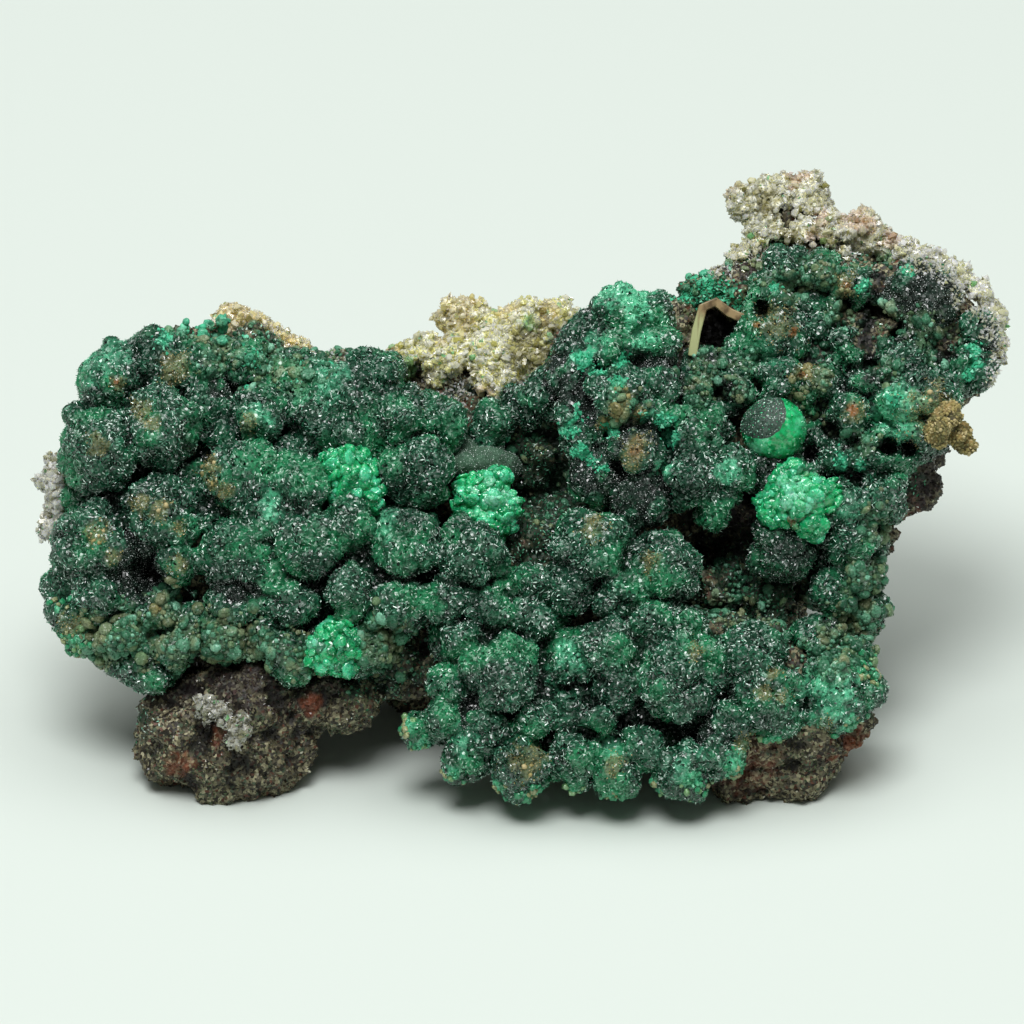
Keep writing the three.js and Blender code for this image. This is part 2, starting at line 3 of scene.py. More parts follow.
import bmesh
import bpy
import numpy as np
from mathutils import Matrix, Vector


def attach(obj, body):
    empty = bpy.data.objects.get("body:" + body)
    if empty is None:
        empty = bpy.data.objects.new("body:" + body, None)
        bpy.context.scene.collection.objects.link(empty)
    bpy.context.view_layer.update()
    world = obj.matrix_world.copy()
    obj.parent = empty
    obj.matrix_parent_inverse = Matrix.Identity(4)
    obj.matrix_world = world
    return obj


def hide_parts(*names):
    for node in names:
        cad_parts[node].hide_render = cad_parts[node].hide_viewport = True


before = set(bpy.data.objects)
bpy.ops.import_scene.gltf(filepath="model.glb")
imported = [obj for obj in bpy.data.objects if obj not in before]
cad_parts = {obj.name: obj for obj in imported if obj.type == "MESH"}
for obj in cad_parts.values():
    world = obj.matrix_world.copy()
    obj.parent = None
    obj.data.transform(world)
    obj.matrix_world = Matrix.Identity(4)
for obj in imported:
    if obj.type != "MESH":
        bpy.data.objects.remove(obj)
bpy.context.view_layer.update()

# ---------------------------------------------------------------- gossan matrix
# The specimen stands on gossan: porous iron oxide rock, brown-black, with rusty and purple-red patches. It is
# broken, not worked, so it has fracture faces, pits and a coat of loose grit and small glassy grains.

MM = 0.001
# Places are in mm on the display layout: across, up and, towards the viewer, out. It is the display face laid
# flat as it is looked at, from this far above, and its origin lies here in the frame.
LOOK_DOWN = math.radians(30)
LAYOUT_AT = Vector((-0.600, -11.018, 0.0))
OUTWARD = (0.0, -math.cos(LOOK_DOWN), math.sin(LOOK_DOWN))


def linear(colour):
    """The linear colour of an sRGB hex value."""
    parts = [int(colour[i : i + 2], 16) / 255 for i in (1, 3, 5)]
    return [p / 12.92 if p <= 0.04045 else ((p + 0.055) / 1.055) ** 2.4 for p in parts] + [1.0]


def add_node(tree, kind, settings=None, inputs=None):
    """A node with its settings and inputs, each a value, an sRGB hex colour, or what it is linked from."""
    node = tree.nodes.new(kind)
    for name, value in (settings or {}).items():
        setattr(node, name, value)
    for name, value in (inputs or {}).items():
        if isinstance(value, bpy.types.Node):
            value = next(socket for socket in value.outputs if socket.enabled)
        if isinstance(value, bpy.types.NodeSocket):
            tree.links.new(value, node.inputs[name])
        elif isinstance(value, str) and value.startswith("#"):
            node.inputs[name].default_value = linear(value)
        else:
            node.inputs[name].default_value = value
    return node


def cad_copy(name, node):
    """A piece with the shape of this CAD node, its corners merged."""
    form = bmesh.new()
    form.from_mesh(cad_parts[node].data)
    bmesh.ops.remove_doubles(form, verts=form.verts, dist=0.001 * MM)
    mesh = bpy.data.meshes.new(name)
    form.to_mesh(mesh)
    form.free()
    piece = bpy.data.objects.new(name, mesh)
    bpy.context.collection.objects.link(piece)
    return piece


def skin(piece, voxel, rounds, swell=0.0):
    """Turns a faceted form into one skin of small faces, rounds it off and swells it back out, all in mm."""
    remesh = piece.modifiers.new("skin", "REMESH")
    remesh.mode = "VOXEL"
    remesh.voxel_size = voxel * MM
    smooth = piece.modifiers.new("rounding", "SMOOTH")
    smooth.factor = 0.5
    smooth.iterations = rounds
    swelling = piece.modifiers.new("swelling", "DISPLACE")
    swelling.strength = swell * MM
    swelling.mid_level = 0.0


def settle(piece, smooth=True):
    """Applies the piece's modifiers to its mesh, and lets nothing dip into the shelf."""
    shaped = piece.evaluated_get(bpy.context.evaluated_depsgraph_get())
    mesh = bpy.data.meshes.new_from_object(shaped)
    piece.modifiers.clear()
    piece.data = mesh
    mesh.polygons.foreach_set("use_smooth", [smooth] * len(mesh.polygons))
    for corner in mesh.vertices:
        corner.co.z = max(corner.co.z, 0.0)
    return piece


def shaper(piece, name):
    """An empty geometry tree on the piece, and its input."""
    tree = bpy.data.node_groups.new(name, "GeometryNodeTree")
    for way in ("INPUT", "OUTPUT"):
        tree.interface.new_socket("Geometry", in_out=way, socket_type="NodeSocketGeometry")
    piece.modifiers.new(name, "NODES").node_group = tree
    return tree, add_node(tree, "NodeGroupInput")


def pushed(tree, geometry, height):
    """The geometry with its skin pushed out by a height."""
    normal = add_node(tree, "GeometryNodeInputNormal")
    offset = add_node(tree, "ShaderNodeVectorMath", {"operation": "SCALE"}, {0: normal, "Scale": height})
    return add_node(tree, "GeometryNodeSetPosition", inputs={"Geometry": geometry, "Offset": offset})


ON_POINTS = {"data_type": "FLOAT", "domain": "POINT"}


def rumpled(piece, depth, size):
    """Broken-rock relief: noise of this depth and feature size in mm."""
    tree, geometry = shaper(piece, "relief")
    position = add_node(tree, "GeometryNodeInputPosition")
    look = {"Vector": position, "Scale": 1 / (size * MM), "Detail": 4.0, "Roughness": 0.65}
    noise = add_node(tree, "ShaderNodeTexNoise", inputs=look)
    height = add_node(
        tree,
        "ShaderNodeMapRange",
        {"clamp": False},
        {"Value": noise, 1: 0.0, 2: 1.0, 3: -depth * MM, 4: depth * MM},
    )
    marking = {"Geometry": pushed(tree, geometry, height), "Name": "relief", "Value": noise}
    marked = add_node(tree, "GeometryNodeStoreNamedAttribute", ON_POINTS, marking)
    add_node(tree, "NodeGroupOutput", inputs={"Geometry": marked})


def weighed(piece, reach, push=0.0):
    """Keeps how far each place stands out of what surrounds it, 0 down a hollow and 1 on a crest, and can
    push the hollows in and the crests out by a share of that. The reach is in steps from corner to corner."""
    tree, geometry = shaper(piece, "hollows")
    position = add_node(tree, "GeometryNodeInputPosition")
    around = add_node(
        tree,
        "GeometryNodeBlurAttribute",
        {"data_type": "FLOAT_VECTOR"},
        {"Value": position, "Iterations": reach},
    )
    above = add_node(tree, "ShaderNodeVectorMath", {"operation": "SUBTRACT"}, {0: position, 1: around})
    normal = add_node(tree, "GeometryNodeInputNormal")
    out = add_node(tree, "ShaderNodeVectorMath", {"operation": "DOT_PRODUCT"}, {0: above, 1: normal})
    full = 0.3 * MM
    crest = add_node(tree, "ShaderNodeMapRange", inputs={"Value": out.outputs["Value"], 1: -full, 2: full})
    marking = {"Geometry": geometry, "Name": "crest", "Value": crest}
    marked = add_node(tree, "GeometryNodeStoreNamedAttribute", ON_POINTS, marking)
    height = add_node(tree, "ShaderNodeMath", {"operation": "MULTIPLY"}, {0: out.outputs["Value"], 1: push})
    add_node(tree, "NodeGroupOutput", inputs={"Geometry": pushed(tree, marked, height)})


def bared(piece, gap, nodes):
    """Marks what these CAD nodes leave bare: 0 within this gap of them in mm, and 1 from twice as far."""
    tree, geometry = shaper(piece, "bare")
    coats = add_node(tree, "GeometryNodeJoinGeometry")
    for node in nodes:
        coat = add_node(tree, "GeometryNodeObjectInfo", inputs={"Object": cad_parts[node]})
        tree.links.new(coat.outputs["Geometry"], coats.inputs["Geometry"])
    near = add_node(tree, "GeometryNodeProximity", {"target_element": "FACES"}, {0: coats})
    bare = add_node(
        tree, "ShaderNodeMapRange", inputs={"Value": near.outputs["Distance"], 1: gap * MM, 2: 2 * gap * MM}
    )
    marking = {"Geometry": geometry, "Name": "bare", "Value": bare}
    marked = add_node(tree, "GeometryNodeStoreNamedAttribute", ON_POINTS, marking)
    add_node(tree, "NodeGroupOutput", inputs={"Geometry": marked})


def layout(mesh):
    """Each corner's place on the display layout, as columns: across, up and out."""
    corners = np.empty(len(mesh.vertices) * 3)
    mesh.vertices.foreach_get("co", corners)
    x, y, z = (corners.reshape(-1, 3) / MM - LAYOUT_AT).T
    sin, cos = math.sin(LOOK_DOWN), math.cos(LOOK_DOWN)
    return np.stack([x, y * sin + z * cos, z * sin - y * cos], axis=1)


def mark(piece, name, values):
    """Keeps these values, one for each corner, on the piece's mesh under this name."""
    piece.data.attributes.new(name, "FLOAT", "POINT").data.foreach_set("value", values)


def marks(piece, name):
    """What the piece's mesh keeps under this name."""
    values = np.empty(len(piece.data.vertices))
    piece.data.attributes[name].data.foreach_get("value", values)
    return values


SOFT, CRISP = 1.6, 5.0  # how sharply a stain ends


def stain(piece, name, places, within=None, ragged=0.35, crisp=SOFT):
    """Marks where a stain lies, full in the middle of each place and with a ragged edge. A place is
    [across, up, reach] and, where the stain is thin, how much of it there is."""
    across, up, _ = layout(piece.data).T
    wander = np.sin(3.1 * across + 1.7 * np.sin(2.3 * up)) * np.sin(2.9 * up + 1.3 * np.sin(3.7 * across))
    finer = np.sin(8.3 * across + 2.1 * np.sin(5.9 * up)) * np.sin(7.1 * up + 1.9 * np.sin(6.7 * across))
    wander += 0.7 * finer
    amount = np.zeros(len(across))
    for x, y, reach, *strength in places:
        distance = np.hypot(across - x, up - y) / reach + ragged * wander
        amount = np.maximum(amount, np.clip(crisp * (1 - distance), 0, 1) * (strength or [1])[0])
    if within:
        amount *= marks(piece, within)
    mark(piece, name, amount)


def scattered(name, carrier, seed, spacing, shape, width, length, lean, where=None, span=None, front=True):
    """Grains of one shape all over a piece, where a stain lies, or in a span across it. The spacing and the
    least and most width and length are in mm, and the lean, the most that a grain tips over, is in radians.
    With front, the faces that look away get none."""
    grains = bpy.data.objects.new(name, bpy.data.meshes.new(name))
    bpy.context.collection.objects.link(grains)
    tree, _ = shaper(grains, name)
    info = add_node(tree, "GeometryNodeObjectInfo", inputs={"Object": carrier})
    normal = add_node(tree, "GeometryNodeInputNormal")
    facing = add_node(tree, "ShaderNodeVectorMath", {"operation": "DOT_PRODUCT"}, {0: normal, 1: OUTWARD})
    past_edge_on, any_way = -0.3, 2.0
    limits = [(facing.outputs["Value"], past_edge_on if front else -any_way, any_way)]
    if span:
        position = add_node(tree, "GeometryNodeInputPosition")
        across = add_node(tree, "ShaderNodeSeparateXYZ", inputs={0: position}).outputs["X"]
        limits.append((across, *((edge + LAYOUT_AT.x) * MM for edge in span)))
    chosen = 1.0
    for value, low, high in limits:
        above = add_node(tree, "ShaderNodeMath", {"operation": "GREATER_THAN"}, {0: value, 1: low})
        below = add_node(tree, "ShaderNodeMath", {"operation": "LESS_THAN"}, {0: value, 1: high})
        for side in (above, below):
            chosen = add_node(tree, "ShaderNodeMath", {"operation": "MULTIPLY"}, {0: side, 1: chosen})
    points = add_node(
        tree,
        "GeometryNodeDistributePointsOnFaces",
        {"distribute_method": "POISSON"},
        {
            "Mesh": info.outputs["Geometry"],
            "Selection": chosen,
            "Distance Min": spacing * MM,
            "Density Max": 2.0 / (spacing * MM) ** 2,
            "Seed": seed,
        },
    )
    if where:
        amount = add_node(tree, "GeometryNodeInputNamedAttribute", {"data_type": "FLOAT"}, {"Name": where})
        tree.links.new(amount.outputs["Attribute"], points.inputs["Density Factor"])
    # There are tens of thousands of grains, so each has only 6 to 56 triangles.
    sides, rings = {"ball": (7, 5), "bead": (5, 3), "blade": (3, 2), "block": (4, 3)}[shape]
    grain = add_node(
        tree, "GeometryNodeMeshUVSphere", inputs={"Segments": sides, "Rings": rings, "Radius": 0.5 * MM}
    )
    tilt = add_node(
        tree,
        "FunctionNodeRandomValue",
        {"data_type": "FLOAT_VECTOR"},
        {0: (-lean, -lean, 0.0), 1: (lean, lean, math.tau), "Seed": seed + 1},
    )
    lean_over = add_node(tree, "FunctionNodeEulerToRotation", inputs={"Euler": tilt})
    turn = add_node(
        tree,
        "FunctionNodeRotateRotation",
        {"rotation_space": "LOCAL"},
        {"Rotation": points.outputs["Rotation"], "Rotate By": lean_over},
    )
    wide, long, luck = (
        add_node(
            tree, "FunctionNodeRandomValue", {"data_type": "FLOAT"}, {2: low, 3: high, "Seed": seed + salt}
        ).outputs[1]
        for salt, (low, high) in enumerate((width, length, (0.0, 1.0)), 2)
    )
    size = add_node(tree, "ShaderNodeCombineXYZ", inputs={"X": wide, "Y": wide, "Z": long})
    strewn = add_node(
        tree,
        "GeometryNodeInstanceOnPoints",
        inputs={"Points": points, "Instance": grain, "Rotation": turn, "Scale": size},
    )
    marked = add_node(
        tree,
        "GeometryNodeStoreNamedAttribute",
        {"data_type": "FLOAT", "domain": "INSTANCE"},
        {"Geometry": strewn, "Name": "luck", "Value": luck},
    )
    realized = add_node(tree, "GeometryNodeRealizeInstances", inputs={"Geometry": marked})
    add_node(tree, "NodeGroupOutput", inputs={"Geometry": realized})
    return settle(grains, smooth=shape in ("ball", "bead"))


def painted(piece, material, node=None):
    """Finishes a piece: its material, its body, and the CAD node that it stands for."""
    piece.data.materials.clear()
    piece.data.materials.append(material)
    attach(piece, "root")
    if node:
        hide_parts(node)


def finish(name, **values):
    """A new material, its tree and its shader, which gets these values."""
    material = bpy.data.materials.new(name)
    material.use_nodes = True
    shader = material.node_tree.nodes["Principled BSDF"]
    for socket, value in values.items():
        shader.inputs[socket].default_value = value
    return material, material.node_tree, shader


def mottle(tree, size, low, high, least=0.0, most=1.0):
    """A patchy mask: noise with features of this size in mm, its low and high ends cut off."""
    place = add_node(tree, "ShaderNodeTexCoord").outputs["Object"]
    look = {"Vector": place, "Scale": 1 / (size * MM), "Detail": 3.0}
    noise = add_node(tree, "ShaderNodeTexNoise", inputs=look)
    return add_node(tree, "ShaderNodeMapRange", inputs={"Value": noise, 1: low, 2: high, 3: least, 4: most})


def kept(tree, name, low, high, least=0.0, most=1.0):
    """What the mesh keeps under this name, stretched from low and high to least and most."""
    amount = add_node(tree, "ShaderNodeAttribute", {"attribute_name": name}).outputs["Fac"]
    return add_node(tree, "ShaderNodeMapRange", inputs={"Value": amount, 1: low, 2: high, 3: least, 4: most})


def stained(tree, name, most=1.0):
    """Where a stain shows, with a broken edge."""
    amount = add_node(tree, "ShaderNodeAttribute", {"attribute_name": name}).outputs["Fac"]
    ragged = mottle(tree, 0.5, 0.3, 0.7, least=0.5, most=1.5)
    edge = add_node(tree, "ShaderNodeMath", {"operation": "MULTIPLY"}, {0: amount, 1: ragged})
    return add_node(tree, "ShaderNodeMapRange", inputs={"Value": edge, 1: 0.2, 2: 0.8, 4: most})


def layered(tree, base, *layers):
    """A colour built up over a base: each layer is how much of it shows, and its colour."""
    for amount, colour in layers:
        mix = add_node(tree, "ShaderNodeMix", {"data_type": "RGBA"}, {0: amount, 6: base, 7: colour})
        base = mix.outputs[2]
    return base


def coloured(tree, shader, base, *layers):
    """Gives the shader the colour that these layers build up over a base."""
    tree.links.new(layered(tree, base, *layers), shader.inputs["Base Color"])


def assorted(tree, *shares, number=None):
    """A colour for each grain by its luck or each face by its number: (share of them, colour) in turn."""
    if number is None:
        number = add_node(tree, "ShaderNodeAttribute", {"attribute_name": "luck"}).outputs["Fac"]
    ramp = add_node(tree, "ShaderNodeValToRGB", inputs={"Fac": number})
    ramp.color_ramp.interpolation = "CONSTANT"
    while len(ramp.color_ramp.elements) < len(shares):
        ramp.color_ramp.elements.new(1.0)
    start = 0.0
    for element, (share, colour) in zip(ramp.color_ramp.elements, shares):
        element.position = start
        element.color = linear(colour)
        start += share
    return ramp.outputs["Color"]


def faceted(tree, shader, size, turn):
    """Gives the shader a coat of tiny crystal faces of this size in mm, each turned its own way.

    Returns each face's own number from 0 to 1."""
    place = add_node(tree, "ShaderNodeTexCoord").outputs["Object"]
    cells = add_node(tree, "ShaderNodeTexVoronoi", inputs={"Vector": place, "Scale": 1 / (size * MM)})
    tipped = add_node(
        tree,
        "ShaderNodeVectorMath",
        {"operation": "MULTIPLY_ADD"},
        {0: cells.outputs["Color"], 1: [2 * turn] * 3, 2: [-turn] * 3},
    )
    normal = add_node(tree, "ShaderNodeNewGeometry").outputs["Normal"]
    summed = add_node(tree, "ShaderNodeVectorMath", {"operation": "ADD"}, {0: tipped, 1: normal})
    even = add_node(tree, "ShaderNodeVectorMath", {"operation": "NORMALIZE"}, {0: summed})
    tree.links.new(even.outputs["Vector"], shader.inputs["Normal"])
    return add_node(tree, "ShaderNodeSeparateXYZ", inputs={0: cells.outputs["Color"]}).outputs["X"]


COATS = [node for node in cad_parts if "crust" in node or "quartz" in node]

gossan = cad_copy("gossan", "gossan_matrix")
skin(gossan, voxel=0.25, rounds=1)
rumpled(gossan, depth=1.0, size=2.6)
rumpled(gossan, depth=0.85, size=0.9)
weighed(gossan, reach=30)
bared(gossan, gap=0.2, nodes=COATS)
settle(gossan)
normals = np.empty(len(gossan.data.vertices) * 3)
gossan.data.vertices.foreach_get("normal", normals)
facing = normals.reshape(-1, 3) @ OUTWARD
shown = np.clip(2 * facing + 1, 0, 1)  # 1 where it faces the viewer, 0 from well past edge-on
mark(gossan, "display", marks(gossan, "bare") * shown)
stain(
    gossan,
    "rust",
    [
        [17.3, 3.0, 1.3], [-16.4, 2.2, 1.0, 0.7], [-14.6, 3.6, 0.8, 0.6], [19.6, 14.5, 1.6, 0.4],
        [-2.1, 19.6, 1.4, 0.8], [12, 2, 2.0, 0.4], [14.6, 21.8, 0.6], [-21.8, 8.0, 0.8, 0.7],
        [-10.0, 5.2, 0.7, 0.7],
    ],
)
stain(
    gossan,
    "purple",
    [[-14, 6.0, 2.6], [-17.6, 7, 2.4], [9, 3, 3], [20.9, 16.3, 2.5], [-10, 6.6, 2.4], [12.0, 27.2, 1.5]],
)
stain(
    gossan,
    "turquoise",
    [[-15.6, 24.2, 1.6], [-13.4, 22.8, 1.2], [-10.8, 22.2, 0.8], [22.8, 22.6, 1.2], [9.4, 26.4, 0.8]],
)
stain(
    gossan,
    "mossy",
    [
        [0.5, 17, 5], [2, 14, 5.0], [-2.0, 12.4, 2.4], [12, 10.5, 4.5], [16, 20, 6.0], [-2, 20.6, 2.2, 0.6],
        [-12, 22, 5], [-19.4, 4.6, 1.6, 0.7], [-6.4, 7.0, 2.4], [17.4, 8.0, 3.0], [23.0, 23.0, 2.0, 0.7],
    ],
    "display",
)
CLEFTS = [
    [18.5, 26.6, 0.5], [18.4, 25.9, 0.6], [18.1, 25.0, 0.6], [17.9, 24.2, 0.7], [17.8, 23.4, 0.7],
    [18.0, 22.5, 0.6], [18.1, 21.5, 0.5], [21.9, 23.6, 0.6], [21.8, 22.6, 0.6], [19.4, 24.1, 0.4],
    [16.8, 25.3, 0.4], [16.0, 19.0, 0.5], [18.8, 18.1, 0.5], [17.0, 18.4, 0.4], [10.6, 21.0, 0.5],
    [14.9, 22.4, 0.4], [15.0, 17.7, 0.4], [19.9, 18.1, 0.4],
]
# The "dark" mark: painted shadow, near black in the clefts and a few deep hollows of the rock.
stain(
    gossan,
    "dark",
    CLEFTS
    + [
        [10.4, 23.8, 1.3], [8.7, 21.6, 0.6], [-18.0, 11.9, 1.0], [11.5, 14.0, 2.5, 0.7],
        [-5.0, 14.2, 1.6, 0.8], [-3.0, 10.0, 1.4, 0.8],
    ],
    ragged=0.1,
)
gritty = marks(gossan, "bare") * (1 - marks(gossan, "dark")) * (1 - 0.5 * marks(gossan, "mossy"))
mark(gossan, "gritty", gritty)
stain(
    gossan,
    "spherules",
    [
        [-12.0, 22.5, 3.4], [-15.4, 23.6, 1.8], [-9.0, 21.8, 2.0], [1.0, 18.4, 1.6, 0.3],
        [1.6, 15.6, 1.8, 0.4], [3.0, 13.6, 1.4, 0.4], [11.4, 10.3, 2.6, 0.9], [16.6, 10.2, 2.4],
        [15.0, 23.0, 2.4, 0.8], [16.4, 25.0, 2.0], [12.4, 26.6, 2.2, 0.8], [18.8, 23.2, 1.8, 0.7],
        [10.4, 21.4, 1.8, 0.8], [15.2, 19.4, 2.0, 0.9], [17.2, 26.8, 1.6], [8.6, 26.0, 1.6, 0.8],
        [22.4, 23.4, 1.6, 0.6], [15.2, 8.4, 2.2], [-21.4, 13.0, 2.0, 0.4], [16.8, 18.0, 2.0, 0.8],
        [-6.4, 7.6, 2.2, 0.6], [13.9, 28.4, 1.4, 0.4],
    ],
    "display",
)
stain(
    gossan,
    "quartzy",
    [
        [12.4, 27.8, 1.2], [10.8, 27.2, 1.0], [16.6, 27.4, 1.0], [-3.4, 21.0, 1.2], [24.4, 22.4, 1.4],
        [-9.6, 23.0, 1.2], [19.4, 5.0, 0.8], [-22.6, 14.0, 2.0], [-6.4, 22.6, 1.0],
    ],
    crisp=CRISP,
)
stain(
    gossan, "crusted", [[9.7, 26.0, 1.1], [10.6, 26.0, 0.9], [8.8, 25.8, 0.7], [11.4, 25.4, 0.5]], ragged=0.15
)
stain(
    gossan,
    "minty",
    [
        [-16.3, 25.0, 0.9], [-16.8, 24.2, 0.9], [-17.4, 23.6, 0.7], [-15.4, 23.4, 1.0], [-14.0, 22.9, 0.8],
        [-12.6, 21.9, 1.1], [-10.8, 21.6, 1.1], [-9.4, 21.5, 0.8],
    ],
)

# Broken gossan is dull and porous, with dark brown and paler grains, and only a face here and there catches
# the light. Its pits and hollows are painted near black, as painted shade. The real grains go down to 0.02
# mm, and are drawn 0.16 mm wide so that they show.
material, tree, shader = finish("gossan, broken iron oxide rock", Roughness=0.6)
fleck = faceted(tree, shader, size=0.16, turn=0.6)
coloured(
    tree,
    shader,
    assorted(
        tree, (0.3, "#2c271c"), (0.25, "#585240"), (0.2, "#847e62"), (0.1, "#aaa584"), (0.08, "#51604a"),
        (0.07, "#6a4434"), number=fleck,
    ),
    # painted shade: near black down the hollows
    (kept(tree, "crest", 0.6, 0.25, most=0.9), "#0e0b08"),
    (stained(tree, "purple", 0.75), "#231a1c"),
    (stained(tree, "rust", 0.75), "#8e4a2c"),
    (stained(tree, "mossy", 0.9), "#16301f"),
    (stained(tree, "crusted", 0.9), "#2c8c68"),
    # painted shadow in the clefts and deep hollows
    (stained(tree, "dark", 0.95), "#050504"),
)
painted(gossan, material, "gossan_matrix")

# Loose grit gives the rock its speckle: each grain has a brown, olive or grey of its own, and the glassy ones
# glint. Grains down in the hollows are painted near black, as painted shade. The finest dust is left out,
# because it is too fine to show.
material, tree, shader = finish("grit and glassy grains on the gossan", Roughness=0.25)
coloured(
    tree,
    shader,
    assorted(
        tree, (0.26, "#332d21"), (0.3, "#575039"), (0.24, "#767056"), (0.12, "#959074"), (0.04, "#6a4634"),
        (0.04, "#cac7b0"),
    ),
    (mottle(tree, 1.4, 0.5, 0.62, most=0.5), "#4c3c32"),
    (mottle(tree, 1.9, 0.54, 0.64, most=0.5), "#5c7a52"),
    # painted shade: near black down the hollows
    (kept(tree, "crest", 0.6, 0.2, most=0.9), "#120f0b"),
    (stained(tree, "purple", 0.7), "#33272a"),
    (stained(tree, "rust", 0.55), "#96523a"),
    (stained(tree, "mossy", 0.9), "#1c4730"),
)
LEFT, RIGHT = -30, 30  # places across, past both ends of the specimen
for number, (spacing, span, front) in enumerate(
    ((0.17, (LEFT, -4), True), (0.17, (-4, RIGHT), True), (0.45, None, False)), 1
):
    name = f"gossan_grit_{number}"
    grit = scattered(
        name, gossan, 10 + number, spacing, "blade", (0.06, 0.2), (0.08, 0.28), 1.5, "gritty", span, front
    )
    painted(grit, material)

# Spherules of fine needles look satin, each a grey-green of its own. The needles, 0.02 mm wide, are drawn as
# faces of 0.08 mm.
spherule, tree, shader = finish("small green spherules", Roughness=0.35)
faceted(tree, shader, size=0.08, turn=0.6)
coloured(
    tree,
    shader,
    assorted(
        tree, (0.25, "#2a5c42"), (0.3, "#3f7a5a"), (0.25, "#569070"), (0.08, "#7cbc9c"), (0.12, "#6c8a62")
    ),
    (mottle(tree, 1.6, 0.5, 0.6, most=0.6), "#8c8a64"),
    (stained(tree, "turquoise", 0.85), "#4cba90"),
    (stained(tree, "ochre", 0.7), "#9a8c58"),
    # painted shadow in the clefts
    (stained(tree, "dark", 0.95), "#080b09"),
)
for number, (spacing, shape, width, length) in enumerate(
    ((0.22, "bead", (0.15, 0.36), (0.13, 0.32)), (0.55, "ball", (0.4, 0.75), (0.25, 0.45))), 1
):
    name = f"gossan_spherules_{number}"
    balls = scattered(name, gossan, 14 + number, spacing, shape, width, length, 0.9, where="spherules")
    painted(balls, spherule)

# ---------------------------------------------------------------- quartz
# Druses of quartz: sugary beds of crystals up to 0.7 mm long, clear to pinkish at the peak and down the right
# rim, stained yellow at the saddle and on the left ridge. They grew on the gossan before the green crust did.

QUARTZ_STAINS = {
    "golden": [
        [-3.0, 24.8, 1.9], [-0.4, 25.2, 0.8], [2.0, 24.9, 0.7], [-13.8, 24.6, 1.6], [-11.2, 23.2, 1.2],
        [-8.8, 22.8, 1.0], [24.0, 23.4, 1.2, 0.5],
    ],
    "peach": [
        [14.4, 31.8, 0.9], [17.6, 29.7, 1.2], [15.7, 29.6, 0.6], [15.2, 28.8, 0.7], [11.0, 31.2, 0.5, 0.6],
        [19.0, 28.6, 0.6], [21.4, 26.9, 0.5, 0.6], [-1.6, 20.6, 0.8], [-6.0, 22.6, 0.6],
    ],
    "olive": [
        [0.9, 22.9, 1.6], [12.8, 30.5, 0.9], [-4.6, 21.2, 1.2], [16.2, 28.2, 0.8], [14.0, 28.6, 0.8],
        [-2.2, 21.8, 0.8],
    ],
    "leafy": [
        [0.8, 24.3, 0.5], [1.8, 23.4, 0.4], [-3.3, 20.9, 0.9], [-5.4, 21.9, 0.8], [13.0, 28.2, 0.7],
        [15.8, 27.9, 0.6], [17.2, 27.4, 0.5], [-11.0, 22.4, 0.7], [-8.6, 22.2, 0.7], [-7.4, 22.4, 0.6],
        [18.9, 27.6, 0.5],
    ],
}


def glowing(shader, weight, reach, shares):
    """Lets light soak up to this many mm into the shader, by a share of it for red, green and blue."""
    shader.inputs["Subsurface Weight"].default_value = weight
    shader.inputs["Subsurface Radius"].default_value = shares
    shader.inputs["Subsurface Scale"].default_value = reach * MM


DRUSES = {  # the slot, and the colours of clear, tinted and deep quartz
    "quartz_saddle": ("yellow_quartz", "#fffee0", "#f8f4a8", "#d4cf7c"),
    "quartz_left_ridge": ("yellow_quartz", "#fffce0", "#fff0b0", "#f0d488"),
    "quartz_peak": ("clear_quartz", "#fcfce4", "#eae6ba", "#9a985c"),
    "quartz_left_edge": ("clear_quartz", "#eeeee2", "#d0ceb8", "#807e68"),
    "quartz_foot_patch": ("clear_quartz", "#c4c4b6", "#969482", "#5a584a"),
    "quartz_right_rim": ("clear_quartz", "#fffff2", "#faf8cc", "#d4d69c"),
}
for seed, (node, (slot, clear, tinted, deep)) in enumerate(DRUSES.items(), 20):
    bed = cad_copy(node + "_bed", node)
    skin(bed, voxel=0.16, rounds=1)
    rumpled(bed, depth=1.0, size=1.5)
    rumpled(bed, depth=0.7, size=0.7)
    settle(bed)
    for stain_name, places in QUARTZ_STAINS.items():
        stain(bed, stain_name, places)
    # Milky quartz is satin and light soaks into it, which gives the bed its glow. The crystals on it are
    # clear, with faces as bright as glass, so they sparkle, and some have specks of green grown into them.
    for name, roughness, shares in (
        ("milky quartz", 0.3, (0.5, 0.4, 0.05, 0.02, 0.03)),
        ("clear quartz crystals", 0.04, (0.56, 0.36, 0.04, 0.015, 0.025)),
    ):
        material, tree, shader = finish(f"{node}, {name}", Roughness=roughness, IOR=1.544)
        glowing(shader, weight=0.6, reach=0.5, shares=(1.0, 0.95, 0.65))
        if name == "milky quartz":
            number = faceted(tree, shader, size=0.2, turn=0.8)
        else:
            shader.inputs["Transmission Weight"].default_value = 0.35
            number = None
        coloured(
            tree,
            shader,
            assorted(tree, *zip(shares, (clear, tinted, deep, "#7c7844", "#84c084")), number=number),
            (stained(tree, "golden", 0.5), "#fce09c"),
            (stained(tree, "peach", 0.5), "#ecbca2"),
            (stained(tree, "olive", 0.75), "#847c44"),
            (stained(tree, "leafy", 0.75), "#5cae6a"),
            (mottle(tree, 0.8, 0.58, 0.66, most=0.5), "#9a9c68"),
        )
        if name == "milky quartz":
            painted(bed, material, node)
    for layer, spacing, shape, width, length in (
        ("crystals", 0.4, "block", (0.22, 0.5), (0.3, 0.7)),
        ("points", 0.135, "blade", (0.08, 0.24), (0.14, 0.46)),
    ):
        tips = scattered(f"{node}_{layer}", bed, seed * 10, spacing, shape, width, length, 1.3, front=False)
        painted(tips, material)

